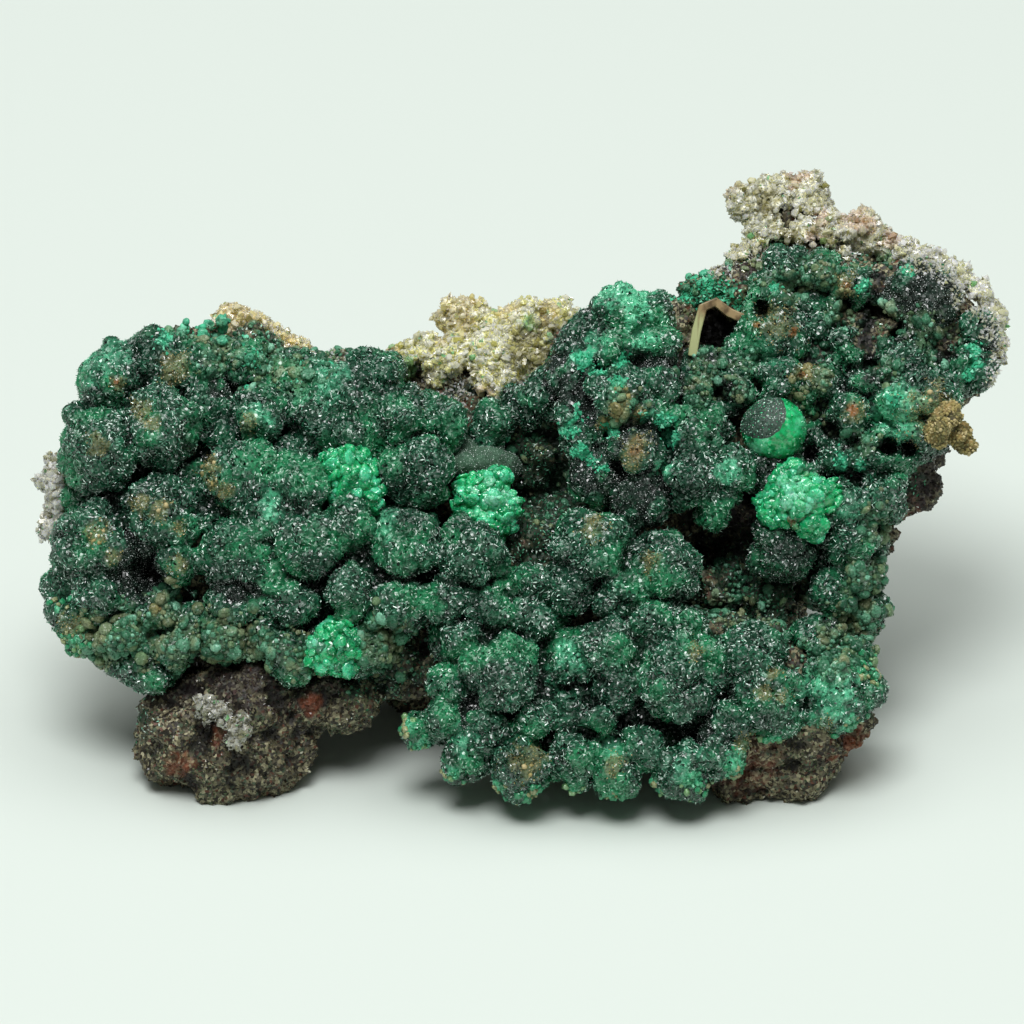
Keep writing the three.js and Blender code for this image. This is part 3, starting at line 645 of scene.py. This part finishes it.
# Loose quartz crystals sit on the bare gossan beside the druses too.
rim_quartz = material
loose = scattered("gossan_quartz", gossan, 290, 0.16, "blade", (0.1, 0.3), (0.16, 0.5), 1.3, where="quartzy")
painted(loose, rim_quartz)

# ---------------------------------------------------------------- boxwork cast
# Thin tan plates of quartz that once coated a crystal. The crystal has dissolved and left only its cast, so
# the plates roof an empty cavity in the gossan.

plates = cad_copy("boxwork_plates", "boxwork_cast")
bevel = plates.modifiers.new("worn edges", "BEVEL")
bevel.width = 0.04 * MM
bevel.segments = 2
thickening = plates.modifiers.new("thickness", "DISPLACE")
thickening.strength = 0.07 * MM
thickening.mid_level = 0.0
settle(plates, smooth=False)
stain(plates, "blade", [[8.9, 23.4, 1.4]], ragged=0.0)

# The plates look waxy and streaked, brown to tan, and the one that stands on end is pale green.
material, tree, shader = finish("tan quartz plates", Roughness=0.4)
coloured(
    tree,
    shader,
    "#5e4c32",
    (mottle(tree, 0.5, 0.4, 0.6), "#9c8660"),
    (kept(tree, "blade", 0.1, 0.5), "#b2b884"),
)
painted(plates, material, "boxwork_cast")

# ---------------------------------------------------------------- green crusts
# Zincolivenite: balls 1 to 4 mm across that grew into one another, each coated with a druse of dark green
# blades 0.15 to 0.35 mm long that glitter. Grey-black coats some, crumbs of ochre iron oxide tip others, and
# where the druse is thin or fresh the balls show vivid green.

def knobbly(piece, *sizes):
    """Grown-ball relief: round bumps with sharp seams, for each (depth, size) in mm, coarsest first."""
    tree, geometry = shaper(piece, "balls")
    relief = 0.0
    for depth, size in sizes:
        position = add_node(tree, "GeometryNodeInputPosition")
        drift = add_node(
            tree, "ShaderNodeTexNoise", inputs={"Vector": position, "Scale": 0.6 / (size * MM), "Detail": 1.0}
        )
        place = add_node(
            tree,
            "ShaderNodeVectorMath",
            {"operation": "MULTIPLY_ADD"},
            {0: drift.outputs["Color"], 1: [0.8 * size * MM] * 3, 2: position},
        )
        look = {"Vector": place, "Scale": 1 / (size * MM), "Randomness": 0.9}
        cells = add_node(tree, "ShaderNodeTexVoronoi", inputs=look)
        fall = add_node(tree, "ShaderNodeMath", {"operation": "MULTIPLY"}, {0: cells, 1: cells})
        height = add_node(
            tree,
            "ShaderNodeMapRange",
            {"clamp": False},
            {"Value": fall, 1: 0.0, 2: 0.6, 3: 0.55 * depth * MM, 4: -0.55 * depth * MM},
        )
        share = 1 / len(sizes)
        crest = add_node(tree, "ShaderNodeMapRange", inputs={"Value": fall, 1: 0.45, 2: 0.0, 4: share})
        relief = add_node(tree, "ShaderNodeMath", {"operation": "ADD"}, {0: crest, 1: relief})
        geometry = pushed(tree, geometry, height)
    marking = {"Geometry": geometry, "Name": "relief", "Value": relief}
    marked = add_node(tree, "GeometryNodeStoreNamedAttribute", ON_POINTS, marking)
    add_node(tree, "NodeGroupOutput", inputs={"Geometry": marked})


STAINS = {
    "bright": [
        [5.5, 26.0, 1.4], [6.5, 25.0, 1.2], [-12.1, 15.0, 1.1, 0.7], [-12.7, 19.6, 1.0, 0.6],
        [10.9, 16.9, 0.8], [16.0, 5.8, 2.0, 0.8], [4.2, 23.2, 0.9, 0.6], [-9.5, 21.8, 2.0, 0.5],
        [17.0, 15.0, 1.2, 0.5], [19.4, 19.8, 2.0, 0.8], [7.5, 16.9, 0.5], [2.9, 7.7, 1.3, 0.7],
        [-21.4, 8.5, 0.9], [6.6, 23.6, 1.2, 0.7], [8.6, 2.0, 1.4, 0.6], [5.0, 3.0, 1.0, 0.5],
        [-2.4, 3.6, 1.2, 0.5], [12.5, 22.6, 1.2, 0.5], [17.0, 7.6, 1.2, 0.5], [-22.0, 22.0, 1.6, 0.4],
        [-20.4, 22.4, 1.8, 0.45], [-6.3, 14.2, 1.0, 0.5], [-5.4, 4.4, 0.9], [-4.4, 3.0, 0.8],
        [-3.0, 1.8, 0.7], [-1.0, 0.9, 0.7], [1.0, 0.5, 0.6], [3.0, 0.4, 0.6], [5.0, 0.4, 0.6],
        [7.0, 0.8, 0.7], [9.0, 1.6, 0.7], [11.0, 2.4, 0.7], [13.0, 3.1, 0.7], [15.0, 3.6, 0.7],
        [17.0, 4.4, 0.7],
    ],
    "turquoise": [
        [3.6, 22.5, 0.6], [4.3, 22.0, 0.45], [5.5, 22.4, 0.45], [3.2, 19.6, 0.5], [2.9, 18.8, 0.55],
        [3.3, 17.9, 0.55], [4.0, 17.4, 0.5], [4.7, 17.0, 0.4], [7.7, 19.3, 0.5], [7.9, 18.6, 0.5],
        [5.0, 19.0, 0.5], [6.6, 19.6, 0.4], [9.6, 26.1, 0.8], [10.6, 26.0, 0.7], [16.5, 17.6, 0.4],
        [16.6, 17.1, 0.4], [17.4, 17.0, 0.4], [19.0, 20.4, 0.5], [5.3, 21.2, 0.5], [0.1, 18.3, 0.5],
        [23.2, 23.0, 0.4], [22.8, 21.8, 0.4], [23.4, 22.2, 0.3], [19.8, 26.9, 0.4], [13.2, 26.0, 0.4],
        [17.6, 26.2, 0.5], [-16.6, 24.3, 0.7, 0.6], [-17.4, 23.5, 0.6, 0.5], [-15.6, 24.3, 0.7, 0.6],
        [-13.0, 22.7, 0.8, 0.5], [-10.8, 21.9, 0.7, 0.5], [-14.6, 23.4, 0.6, 0.5],
    ],
    "ochre": [
        [-16.8, 22.0, 0.9], [-19.8, 21.3, 0.5], [-18.4, 19.8, 0.7], [-18.0, 19.3, 0.6], [-20.6, 18.2, 0.8],
        [-13.0, 19.3, 0.6], [-15.1, 17.0, 0.7], [-14.9, 16.3, 0.7], [-14.3, 15.8, 0.6], [-18.6, 15.2, 0.6],
        [-17.4, 14.9, 0.7], [-16.6, 14.0, 0.5], [-20.8, 13.8, 0.8], [-20.0, 12.6, 0.5, 0.8],
        [-16.6, 12.2, 0.6], [-17.6, 9.9, 0.4], [-22.0, 9.1, 0.7], [6.2, 18.0, 0.9], [5.9, 17.2, 0.5],
        [0.6, 2.3, 1.1, 0.8], [5.1, 2.2, 0.7], [9.2, 7.9, 0.6, 0.6], [12.9, 6.8, 0.6], [12.6, 5.9, 0.6],
        [13.5, 5.7, 0.5], [4.1, 14.0, 0.8, 0.8], [7.0, 12.3, 0.8, 0.7], [13.4, 24.3, 1.3, 0.6],
        [17.2, 19.9, 0.7], [21.0, 19.8, 1.9, 0.7], [5.2, 19.8, 0.6], [5.7, 20.6, 0.6], [6.2, 19.8, 0.6],
        [4.6, 19.2, 0.5], [16.9, 26.3, 0.8], [14.6, 21.8, 0.7], [11.6, 3.4, 0.7, 0.7], [15.6, 4.2, 0.6, 0.7],
    ],
    "nodular": [
        [5.2, 19.8, 0.6], [5.7, 20.6, 0.6], [6.2, 19.8, 0.6], [4.6, 19.2, 0.5], [-15.1, 17.0, 0.6],
        [-14.9, 16.3, 0.5], [-18.4, 19.8, 0.5], [-20.8, 13.8, 0.6], [21.0, 19.8, 1.2, 0.5],
        [-17.6, 14.9, 0.4], [0.6, 2.3, 0.6],
    ],
    # painted shadow in the clefts, and painted shade on two dim patches of the mound
    "dark": CLEFTS + [[10.0, 19.8, 1.8, 0.4], [8.2, 15.8, 1.2, 0.4]],
    "orange": [
        [17.0, 19.9, 0.35], [12.3, 24.2, 0.2], [14.1, 23.8, 0.28], [-19.8, 21.3, 0.2],
        [14.6, 21.7, 0.35, 0.6], [11.2, 25.6, 0.25], [6.2, 17.9, 0.8, 0.35], [18.4, 9.0, 0.2],
        [-17.6, 9.9, 0.25], [16.8, 26.2, 0.4, 0.6],
    ],
    "quartzy": [
        [20.4, 27.6, 0.9], [21.6, 27.0, 1.0], [22.8, 26.2, 1.0], [23.8, 25.2, 1.0], [24.5, 24.2, 1.0],
        [24.8, 22.6, 0.8], [24.4, 21.6, 0.7],
    ],
    "dull": [
        [-20.5, 8.3, 1.8, 0.8], [-18.6, 8.4, 2.0], [-16.6, 8.6, 2.0], [-14.6, 8.4, 1.7],
        [-12.8, 8.1, 1.6, 0.9], [-10.6, 7.4, 1.4, 0.8], [-6.6, 8.0, 2.0], [-17.2, 9.9, 1.4], [17.4, 9.4, 2.0],
        [16.2, 7.9, 1.8], [17.8, 11.4, 1.7, 0.8], [18.4, 14.2, 1.4, 0.7], [9.6, 21.6, 1.6, 0.8],
        [5.6, 20.2, 1.3], [13.6, 26.4, 1.4, 0.8], [15.4, 26.8, 1.2, 0.8], [-16.2, 24.2, 1.0],
        [-14.5, 23.0, 1.4], [-12.4, 22.2, 1.4], [-10.6, 21.8, 1.2, 0.9], [11.3, 21.0, 1.0, 0.7],
        [15.6, 21.4, 1.0, 0.7], [16.4, 24.8, 1.0, 0.8], [19.0, 24.8, 0.9, 0.8], [14.4, 20.6, 0.9, 0.7],
        [12.0, 22.2, 0.8, 0.8], [18.8, 21.9, 1.1, 0.6], [20.6, 24.0, 1.2, 0.8], [17.4, 18.2, 0.9, 0.6],
        [21.2, 22.6, 0.8, 0.6],
    ],
    "lip": [
        [-5.4, 4.2, 0.9], [-4.4, 2.8, 0.8], [-3.0, 1.6, 0.8], [-1.0, 0.7, 0.9], [1.0, 0.3, 0.9],
        [3.0, 0.2, 0.9], [5.0, 0.2, 0.9], [7.0, 0.6, 0.9], [9.0, 1.3, 0.9], [11.0, 2.1, 0.9],
        [13.0, 2.9, 0.9], [15.0, 3.4, 0.9], [17.0, 4.2, 0.9], [17.8, 7.0, 0.8], [-21.9, 8.2, 0.9],
        [-22.4, 10.4, 0.6],
    ],
}
SOOTY_BALLS = [  # across, up, out, radius and, where the coat is thin, how much of it there is
    [3.5, 19.9, -1.1, 1.2], [3.1, 21.5, -1.7, 1.3], [4.4, 16.8, -0.8, 1.35], [6.3, 15.8, -0.6, 1.5],
    [6.1, 18.0, 0.2, 1.25], [7.4, 21.3, -1.2, 1.1], [13.1, 16.9, -1.8, 1.3], [13.5, 13.0, -1.3, 2.2, 0.5],
    [20.6, 25.6, -3.9, 1.8], [23.3, 23.7, -4.1, 1.0], [9.9, 21.8, -2.9, 1.05], [-18.8, 12.0, -0.4, 1.9],
    [-15.0, 20.6, -3.0, 1.3], [-1.6, 4.4, 1.6, 1.2], [9.6, 3.8, 1.6, 1.2], [-13.6, 10.9, 0.5, 1.3],
    [9.2, 16.7, -0.7, 1.2],
]


def sooted(piece):
    """Marks the balls that are coated grey-black, to a little past their radius, with a soft edge."""
    places = layout(piece.data)
    amount = np.zeros(len(places))
    past, edge = 0.45, 0.3
    for x, y, out, radius, *strength in SOOTY_BALLS:
        distance = np.linalg.norm(places - (x, y, out), axis=1)
        coat = np.clip((radius + past - distance) / edge, 0, 1)
        amount = np.maximum(amount, coat * (strength or [1])[0])
    mark(piece, "soot", amount)


# How much of the dark druse each of these takes the place of.
HIDES_DRUSE = {"dull": 0.9, "ochre": 0.55, "turquoise": 1.0, "quartzy": 1.0, "soot": 1.0, "dark": 1.0}

# Zincolivenite druse is deep green, with the gloss of its high refractive index, 1.8: a small face turned to
# a light is a white spark. Its hollows are painted nearly black, as painted shade, and its clefts near black,
# as painted shadow. Other minerals stain patches of it.
def druse(name, colour, rough):
    """A finish of green druse over the colour that the function gives it, with the stains of the crust."""
    material, tree, shader = finish(name, Roughness=rough, IOR=1.8)
    coloured(
        tree,
        shader,
        colour(tree, shader),
        (mottle(tree, 2.4, 0.5, 0.62, most=0.42), "#34b070"),
        (mottle(tree, 3.1, 0.46, 0.38, most=0.5), "#0c2c20"),
        # painted shade: nearly black down the hollows between the balls
        (kept(tree, "crest", 0.45, 0.05, most=0.85), "#04140c"),
        (stained(tree, "soot", 0.85), "#18201d"),
        (stained(tree, "bright", 0.75), "#68d8a6"),
        (stained(tree, "turquoise", 0.9), "#3cb88a"),
        (stained(tree, "dull", 0.6), "#6a8c66"),
        (stained(tree, "ochre", 0.65), "#7e865c"),
        (stained(tree, "orange", 0.6), "#b4683a"),
        # painted shadow in the clefts
        (stained(tree, "dark", 0.97), "#050706"),
    )
    return material


def skin_green(tree, shader):
    """The skin between the blades: faces 0.14 mm across, painted shade in its seams, and a few painted
    glints.
    """
    facet = faceted(tree, shader, size=0.14, turn=0.9)
    painted_glints = add_node(tree, "ShaderNodeMapRange", inputs={"Value": facet, 1: 0.85, 2: 1.0, 4: 0.6})
    return layered(
        tree,
        "#0a2014",
        # painted shade: darker in the seams, paler on the bumps
        (kept(tree, "relief", 0.1, 0.9, least=0.1), "#26694a"),
        (mottle(tree, 0.8, 0.4, 0.6, most=0.5), "#133d2a"),
        # painted glints: the palest faces are lightened
        (painted_glints, "#9cd0b4"),
    )


def blade_green(tree, shader):
    """The blades: most are dark, and the rest are painted pale to near white: painted glints."""
    return layered(
        tree,
        assorted(tree, (0.33, "#123a27"), (0.27, "#2f7857"), (0.16, "#7abc9e"), (0.24, "#e0f8ea")),
        (mottle(tree, 1.1, 0.5, 0.62, most=0.6), "#164630"),
    )


crust_skin = druse("zincolivenite druse", skin_green, 0.25)
crust_blades = druse("zincolivenite blades", blade_green, 0.12)

# Crumbs of iron oxide are earthy and have no shine.
ochre_crumb, tree, shader = finish("ochre iron oxide crumbs", Roughness=0.7)
coloured(
    tree,
    shader,
    assorted(tree, (0.4, "#a0935c"), (0.3, "#7c784c"), (0.3, "#bfb080")),
    (stained(tree, "orange"), "#c07030"),
)

# This crust is chalky and bright, the only pure turquoise on the specimen.
turquoise_crumb, tree, shader = finish("matt turquoise crust", Roughness=0.6)
coloured(tree, shader, assorted(tree, (0.4, "#46c092"), (0.35, "#32a478"), (0.25, "#7cd8b2")))

# Microscopic crystals make the grey-black coat glitter. They are 0.02 mm or less, and are drawn 0.05 mm wide.
spark, tree, shader = finish("sparks of druse on the grey-black coat", Roughness=0.12, IOR=1.8)
# Two thirds of the grains are painted pale grey to near white, as painted glints besides their gloss.
coloured(tree, shader, assorted(tree, (0.34, "#43524b"), (0.3, "#9aaaa2"), (0.36, "#e8f0ec")))

# Where the crust thins out to an edge it is paler, and yellowish beads lie among the green.
lip_bead, tree, shader = finish("pale green crust of the thin edge", Roughness=0.3, IOR=1.8)
faceted(tree, shader, size=0.1, turn=0.6)
shades = (0.35, "#2a9461"), (0.25, "#4fb483"), (0.2, "#78a56c"), (0.2, "#9aa070")
coloured(tree, shader, assorted(tree, *shades))

DENTS = [  # across, up, reach and depth, less than nothing where it bulges
    [18.5, 26.4, 1.0, 2.4], [16.2, 24.0, 0.8, 1.6], [18.1, 24.8, 1.1, 2.6], [17.8, 23.4, 1.1, 2.6],
    [18.0, 22.2, 0.9, 2.0], [21.9, 23.2, 1.0, 2.2], [19.4, 24.1, 0.7, 1.4], [16.8, 25.3, 0.7, 1.4],
    [16.0, 19.0, 0.8, 1.6], [18.8, 18.1, 0.8, 1.6], [15.7, 20.2, 0.8, 1.4], [10.5, 20.8, 0.8, 1.4],
    [15.0, 17.6, 0.8, 1.4], [14.9, 22.4, 0.8, 1.4], [19.9, 18.1, 0.7, 1.2], [12.4, 21.2, 0.7, 1.2],
    [17.0, 22.0, 0.8, 1.4], [12.6, 24.9, 0.7, 1.2], [-17.6, 17.2, 1.0, 0.7], [-16.2, 17.9, 0.7, 0.7],
    [-17.9, 11.8, 1.2, 1.0], [-11.0, 18.9, 0.8, 0.6], [-6.1, 15.2, 0.8, 0.6], [13.3, 25.5, 0.8, -0.4],
    [13.8, 26.9, 0.7, -0.4], [15.5, 26.9, 0.8, -0.4], [14.5, 26.0, 0.5, 0.7], [11.3, 21.0, 0.7, -0.3],
    [15.4, 21.4, 0.7, -0.3],
]


def placed(piece, places):
    """Moves the piece's corners to these places on the display layout."""
    across, up, out = places.T
    sin, cos = math.sin(LOOK_DOWN), math.cos(LOOK_DOWN)
    corners = np.stack([across, up * sin - out * cos, up * cos + out * sin], axis=1) + LAYOUT_AT
    piece.data.vertices.foreach_set("co", (corners * MM).ravel())


def dented(piece, dents):
    """Sinks recesses into the piece, and swells it where a depth is less than nothing."""
    places = layout(piece.data)
    for across, up, reach, depth in dents:
        near = np.clip(1 - np.hypot(places[:, 0] - across, places[:, 1] - up) / reach, 0, 1)
        places[:, 2] -= depth * near**2 * (3 - 2 * near)
    placed(piece, places)


def crust(node, seed, cuts=(), voxel=0.15):
    """A crust of grown-together balls, its druse, in pieces that meet at these cuts, and its crumbs."""
    body = cad_copy(node + "_balls", node)
    skin(body, voxel, rounds=5, swell=0.06)
    knobbly(body, (0.22, 1.3), (0.13, 0.55))
    settle(body)
    dented(body, DENTS)
    weighed(body, reach=110, push=0.65)
    settle(body)
    for stain_name, places in STAINS.items():
        stain(body, stain_name, places, crisp=CRISP if stain_name == "quartzy" else SOFT)
    sooted(body)
    hidden = [share * marks(body, stain_name) for stain_name, share in HIDES_DRUSE.items()]
    mark(body, "fresh", 1 - np.maximum.reduce(hidden))
    painted(body, crust_skin, node)
    edges = (LEFT, *cuts, RIGHT)
    for number, span in enumerate(zip(edges, edges[1:]), 1):
        name = f"{node}_druse_{number}"
        blades = scattered(
            name, body, seed + number, 0.124, "blade", (0.045, 0.09), (0.16, 0.36), 1.5, "fresh", span
        )
        painted(blades, crust_blades)
    for layer, where, spacing, shape, width, length, material in (
        ("spherules", "dull", 0.5, "ball", (0.45, 0.85), (0.3, 0.5), spherule),
        ("beads", "dull", 0.22, "bead", (0.16, 0.4), (0.14, 0.36), spherule),
        ("nodules", "nodular", 0.32, "bead", (0.14, 0.4), (0.12, 0.34), ochre_crumb),
        ("quartz", "quartzy", 0.14, "blade", (0.1, 0.32), (0.18, 0.6), rim_quartz),
        ("sparks", "soot", 0.115, "blade", (0.04, 0.07), (0.05, 0.12), spark),
        ("lip", "lip", 0.24, "bead", (0.2, 0.55), (0.16, 0.4), lip_bead),
        ("ochre", "ochre", 0.11, "blade", (0.05, 0.13), (0.06, 0.2), ochre_crumb),
        ("turquoise", "turquoise", 0.13, "blade", (0.12, 0.34), (0.12, 0.34), turquoise_crumb),
    ):
        crumbs = scattered(f"{node}_{layer}", body, seed + 8, spacing, shape, width, length, 0.8, where=where)
        if len(crumbs.data.vertices):
            painted(crumbs, material)
        else:
            bpy.data.objects.remove(crumbs)


crust("front_crust", 310, cuts=(-13, -3), voxel=0.165)
crust("mound_crust", 320)
crust("right_crust", 330)
crust("upper_right_crust", 340)
crust("gap_ball", 350, voxel=0.1)

# Dark green blades line the gully, the cave and the other hollows between the crusts too.
lining = scattered("gossan_druse", gossan, 360, 0.15, "blade", (0.06, 0.12), (0.16, 0.36), 1.5, where="mossy")
painted(lining, crust_blades)
for name, spacing, shape, width, length, where in (
    ("gossan_turquoise", 0.13, "blade", (0.14, 0.4), (0.14, 0.4), "crusted"),
    ("gossan_mint", 0.32, "ball", (0.3, 0.55), (0.2, 0.34), "minty"),
):
    crumbs = scattered(name, gossan, 365, spacing, shape, width, length, 0.8, where=where)
    painted(crumbs, turquoise_crumb)

# ---------------------------------------------------------------- gully oval
# A flat knob of zincolivenite in the gully. A crust of very fine crystals coats it, so it is smooth and dull
# grey-green, with a dust of sparks.

oval = cad_copy("gully_oval_coat", "gully_oval")
skin(oval, voxel=0.12, rounds=5, swell=0.12)
knobbly(oval, (0.05, 0.6), (0.03, 0.2))
settle(oval)

# The coating is like felt: dull, evenly grey-green and without highlights, but for a dust of sparks.
material, tree, shader = finish("dull grey-green coating", Roughness=0.8)
coloured(tree, shader, "#26402f", (mottle(tree, 0.8, 0.35, 0.65), "#456a52"))
faceted(tree, shader, size=0.08, turn=0.4)
painted(oval, material, "gully_oval")
velvet = scattered("gully_oval_sparks", oval, 375, 0.085, "blade", (0.03, 0.055), (0.04, 0.1), 1.5)
painted(velvet, spark)

# ---------------------------------------------------------------- bright balls
# Five balls of fresh zincolivenite without the dark druse: vivid emerald and glassy. Four are clusters of
# flat knobs up to a millimetre across, and the fifth is a smooth half ball that keeps a cap of dark druse.

GREEN_GLOW = {"weight": 0.5, "reach": 0.4, "shares": (0.3, 1.0, 0.6)}
ROUNDNESS = 0.8  # how far the half ball is drawn to a true ball, from 0 to 1

# Fresh zincolivenite is glassy, and light soaks a little way in, so it glows emerald and is paler where it is
# thin. Its seams are painted darker and its crests paler, as painted shade, and its pale patches are partly
# painted highlight, partly paler zincolivenite. The cap of druse on it is dark and dull.
material, tree, shader = finish("fresh zincolivenite", Roughness=0.12, IOR=1.8)
glowing(shader, **GREEN_GLOW)
faceted(tree, shader, size=0.16, turn=0.25)
coloured(
    tree,
    shader,
    "#0a8244",
    # painted shade: darker in the seams, paler on the crests
    (kept(tree, "relief", 0.1, 0.8), "#24cc7e"),
    (mottle(tree, 0.7, 0.5, 0.65, most=0.5), "#5ce4a8"),
    # partly painted highlight
    (stained(tree, "pale", 0.5), "#8ef0c4"),
    (kept(tree, "cap", 0.2, 0.25), "#1b3e2e"),
)
dulled = kept(tree, "cap", 0.2, 0.25, least=0.12, most=0.7)
tree.links.new(dulled.outputs[0], shader.inputs["Roughness"])

# The knobs differ from emerald to pale mint, each with a wet-looking highlight, broken by faces of 0.1 mm.
# Their pale patches are partly painted highlight.
bright_knobs, tree, shader = finish("fresh zincolivenite knobs", Roughness=0.1, IOR=1.8)
glowing(shader, **GREEN_GLOW)
faceted(tree, shader, size=0.1, turn=0.45)
coloured(
    tree,
    shader,
    assorted(tree, (0.36, "#10965a"), (0.4, "#22b46e"), (0.24, "#4cd49a")),
    (mottle(tree, 0.3, 0.5, 0.65, most=0.5), "#64e4ac"),
    # partly painted highlight
    (stained(tree, "pale", 0.6), "#9cf0cc"),
    (stained(tree, "aged", 0.8), "#1c5c42"),
    (stained(tree, "rust", 0.9), "#7a4a26"),
)

# Sparse blades on the knobs are the palest of all and glint; their near-white mint share is painted glint.
bright_blades, tree, shader = finish("fresh zincolivenite blades", Roughness=0.1, IOR=1.8)
coloured(tree, shader, assorted(tree, (0.3, "#149c58"), (0.38, "#36c884"), (0.32, "#aef6d4")))
for seed, (node, rounds, bumps) in enumerate(
    (
        ("bright_ball_left", 14, ((0.26, 0.8), (0.1, 0.35))),
        ("bright_ball_low", 14, ((0.26, 0.8), (0.1, 0.35))),
        ("bright_ball_middle", 14, ((0.26, 0.7), (0.1, 0.35))),
        ("bright_ball_right", 14, ((0.32, 1.0), (0.1, 0.35))),
        ("half_bright_ball", 60, ((0.06, 1.2), (0.05, 0.35))),
    ),
    390,
):
    ball = cad_copy(node + "_skin", node)
    skin(ball, voxel=0.08, rounds=rounds, swell=0.24)
    knobbly(ball, *bumps)
    weighed(ball, reach=30)
    settle(ball)
    if node == "half_bright_ball":
        corners = layout(ball.data)
        spokes = corners - corners.mean(axis=0)
        reach = np.linalg.norm(spokes, axis=1, keepdims=True)
        placed(ball, corners + ROUNDNESS * (reach.mean() / reach - 1) * spokes)
    stain(ball, "cap", [[12.4, 19.75, 1.35]], ragged=0.02, crisp=6.0)
    # The pale mark lightens a patch on some balls: partly painted highlight, partly paler zincolivenite.
    stain(
        ball,
        "pale",
        [
            [-0.9, 15.2, 1.3, 0.7], [14.2, 15.8, 1.4, 0.7], [-9.8, 8.2, 0.6, 0.8], [12.4, 18.0, 0.9, 0.8],
            [14.4, 19.4, 0.5, 0.7],
        ],
    )
    stain(ball, "aged", [[-8.6, 7.9, 1.1]])
    stain(ball, "rust", [[14.2, 14.4, 0.3], [15.8, 15.2, 0.25], [14.6, 16.5, 0.25]])
    painted(ball, material, node)
    if node == "half_bright_ball":
        glints = scattered(f"{node}_druse", ball, seed, 0.22, "blade", (0.04, 0.08), (0.08, 0.18), 1.5)
    else:
        knobs = scattered(f"{node}_knobs", ball, seed, 0.36, "ball", (0.4, 0.95), (0.2, 0.44), 0.6)
        painted(knobs, bright_knobs)
        glints = scattered(f"{node}_druse", knobs, seed, 0.15, "blade", (0.04, 0.09), (0.1, 0.22), 1.5)
    painted(glints, bright_blades)
name = "half_bright_ball_cap"
cap = scattered(name, ball, 370, 0.08, "blade", (0.035, 0.07), (0.08, 0.18), 1.5, where="cap")
painted(cap, crust_blades)

# ---------------------------------------------------------------- limonite knob
# Limonite, earthy ochre iron oxide, in a knob over the end of the right crust. It grew there last, as a coat,
# and is crumbly all over.

knob = cad_copy("limonite", "limonite_knob")
skin(knob, voxel=0.12, rounds=4, swell=0.1)
knobbly(knob, (0.2, 0.8), (0.1, 0.35))
settle(knob)
dented(knob, [[21.3, 19.05, 0.8, -0.6]])

# Earthy limonite is ochre and without shine, and its hollows are painted darker, as painted shade. Its
# grains,
# 0.05 mm wide, are drawn 0.15 mm wide.
material, tree, shader = finish("earthy limonite", Roughness=0.7)
coloured(
    tree,
    shader,
    "#2e2c18",
    # painted shade: darker down the hollows
    (kept(tree, "relief", 0.1, 0.8), "#6b6238"),
    (mottle(tree, 0.6, 0.45, 0.65), "#a08850"),
)
faceted(tree, shader, size=0.15, turn=0.4)
painted(knob, material, "limonite_knob")
crumbs = scattered("limonite_crumbs", knob, 380, 0.14, "block", (0.08, 0.3), (0.08, 0.3), 1.5, front=False)
painted(crumbs, ochre_crumb)

# ---------------------------------------------------------------- shelf, light and camera
# A pale greenish-white sheet lies under the specimen. A broad softbox hangs overhead, with a smaller one in
# front and to the left, and a long lens looks down at the display face.

shelf = bpy.data.meshes.new("shelf")
form = bmesh.new()
bmesh.ops.create_grid(form, x_segments=1, y_segments=1, size=2.0)
form.to_mesh(shelf)
form.free()
shelf = bpy.data.objects.new("shelf", shelf)
bpy.context.collection.objects.link(shelf)

# Plain paper: it takes the soft shadow and throws pale green light back under the crust.
material, tree, shader = finish("pale matt paper", Roughness=0.9)
shader.inputs["Base Color"].default_value = linear("#d4ddd6")
shelf.data.materials.append(material)

world = bpy.data.worlds.new("studio")
bpy.context.scene.world = world
world.use_nodes = True
world.node_tree.nodes["Background"].inputs["Color"].default_value = linear("#eef5ee")
world.node_tree.nodes["Background"].inputs["Strength"].default_value = 0.12


def softbox(name, place, size, power):
    """A round soft light at a place, of this size in metres and power in watts, turned to the specimen."""
    light = bpy.data.lights.new(name, "AREA")
    light.shape = "DISK"
    light.size = size
    light.energy = power
    lamp = bpy.data.objects.new(name, light)
    lamp.location = place
    lamp.rotation_mode = "QUATERNION"
    lamp.rotation_quaternion = (Vector((0, 0, 0.01)) - Vector(place)).to_track_quat("-Z", "Y")
    bpy.context.collection.objects.link(lamp)


softbox("overhead softbox", (0.0, 0.04, 0.5), 0.7, 2.3)
softbox("front softbox", (-0.07, -0.2, 0.6), 0.32, 2.4)

FRAMED_AT = 14.8  # up the display layout, where the middle of the view lies
AWAY = 0.6  # metres from there to the lens

camera = bpy.data.cameras.new("long lens")
camera.lens = 422
camera.sensor_width = 36
camera.clip_start = 0.01
viewer = bpy.data.objects.new("long lens", camera)
bpy.context.collection.objects.link(viewer)
upward = Vector((0, math.sin(LOOK_DOWN), math.cos(LOOK_DOWN)))
viewer.location = (LAYOUT_AT + FRAMED_AT * upward) * MM + AWAY * Vector(OUTWARD)
viewer.rotation_mode = "QUATERNION"
viewer.rotation_quaternion = (-Vector(OUTWARD)).to_track_quat("-Z", "Y")
bpy.context.scene.camera = viewer
bpy.context.scene.view_settings.view_transform = "Standard"
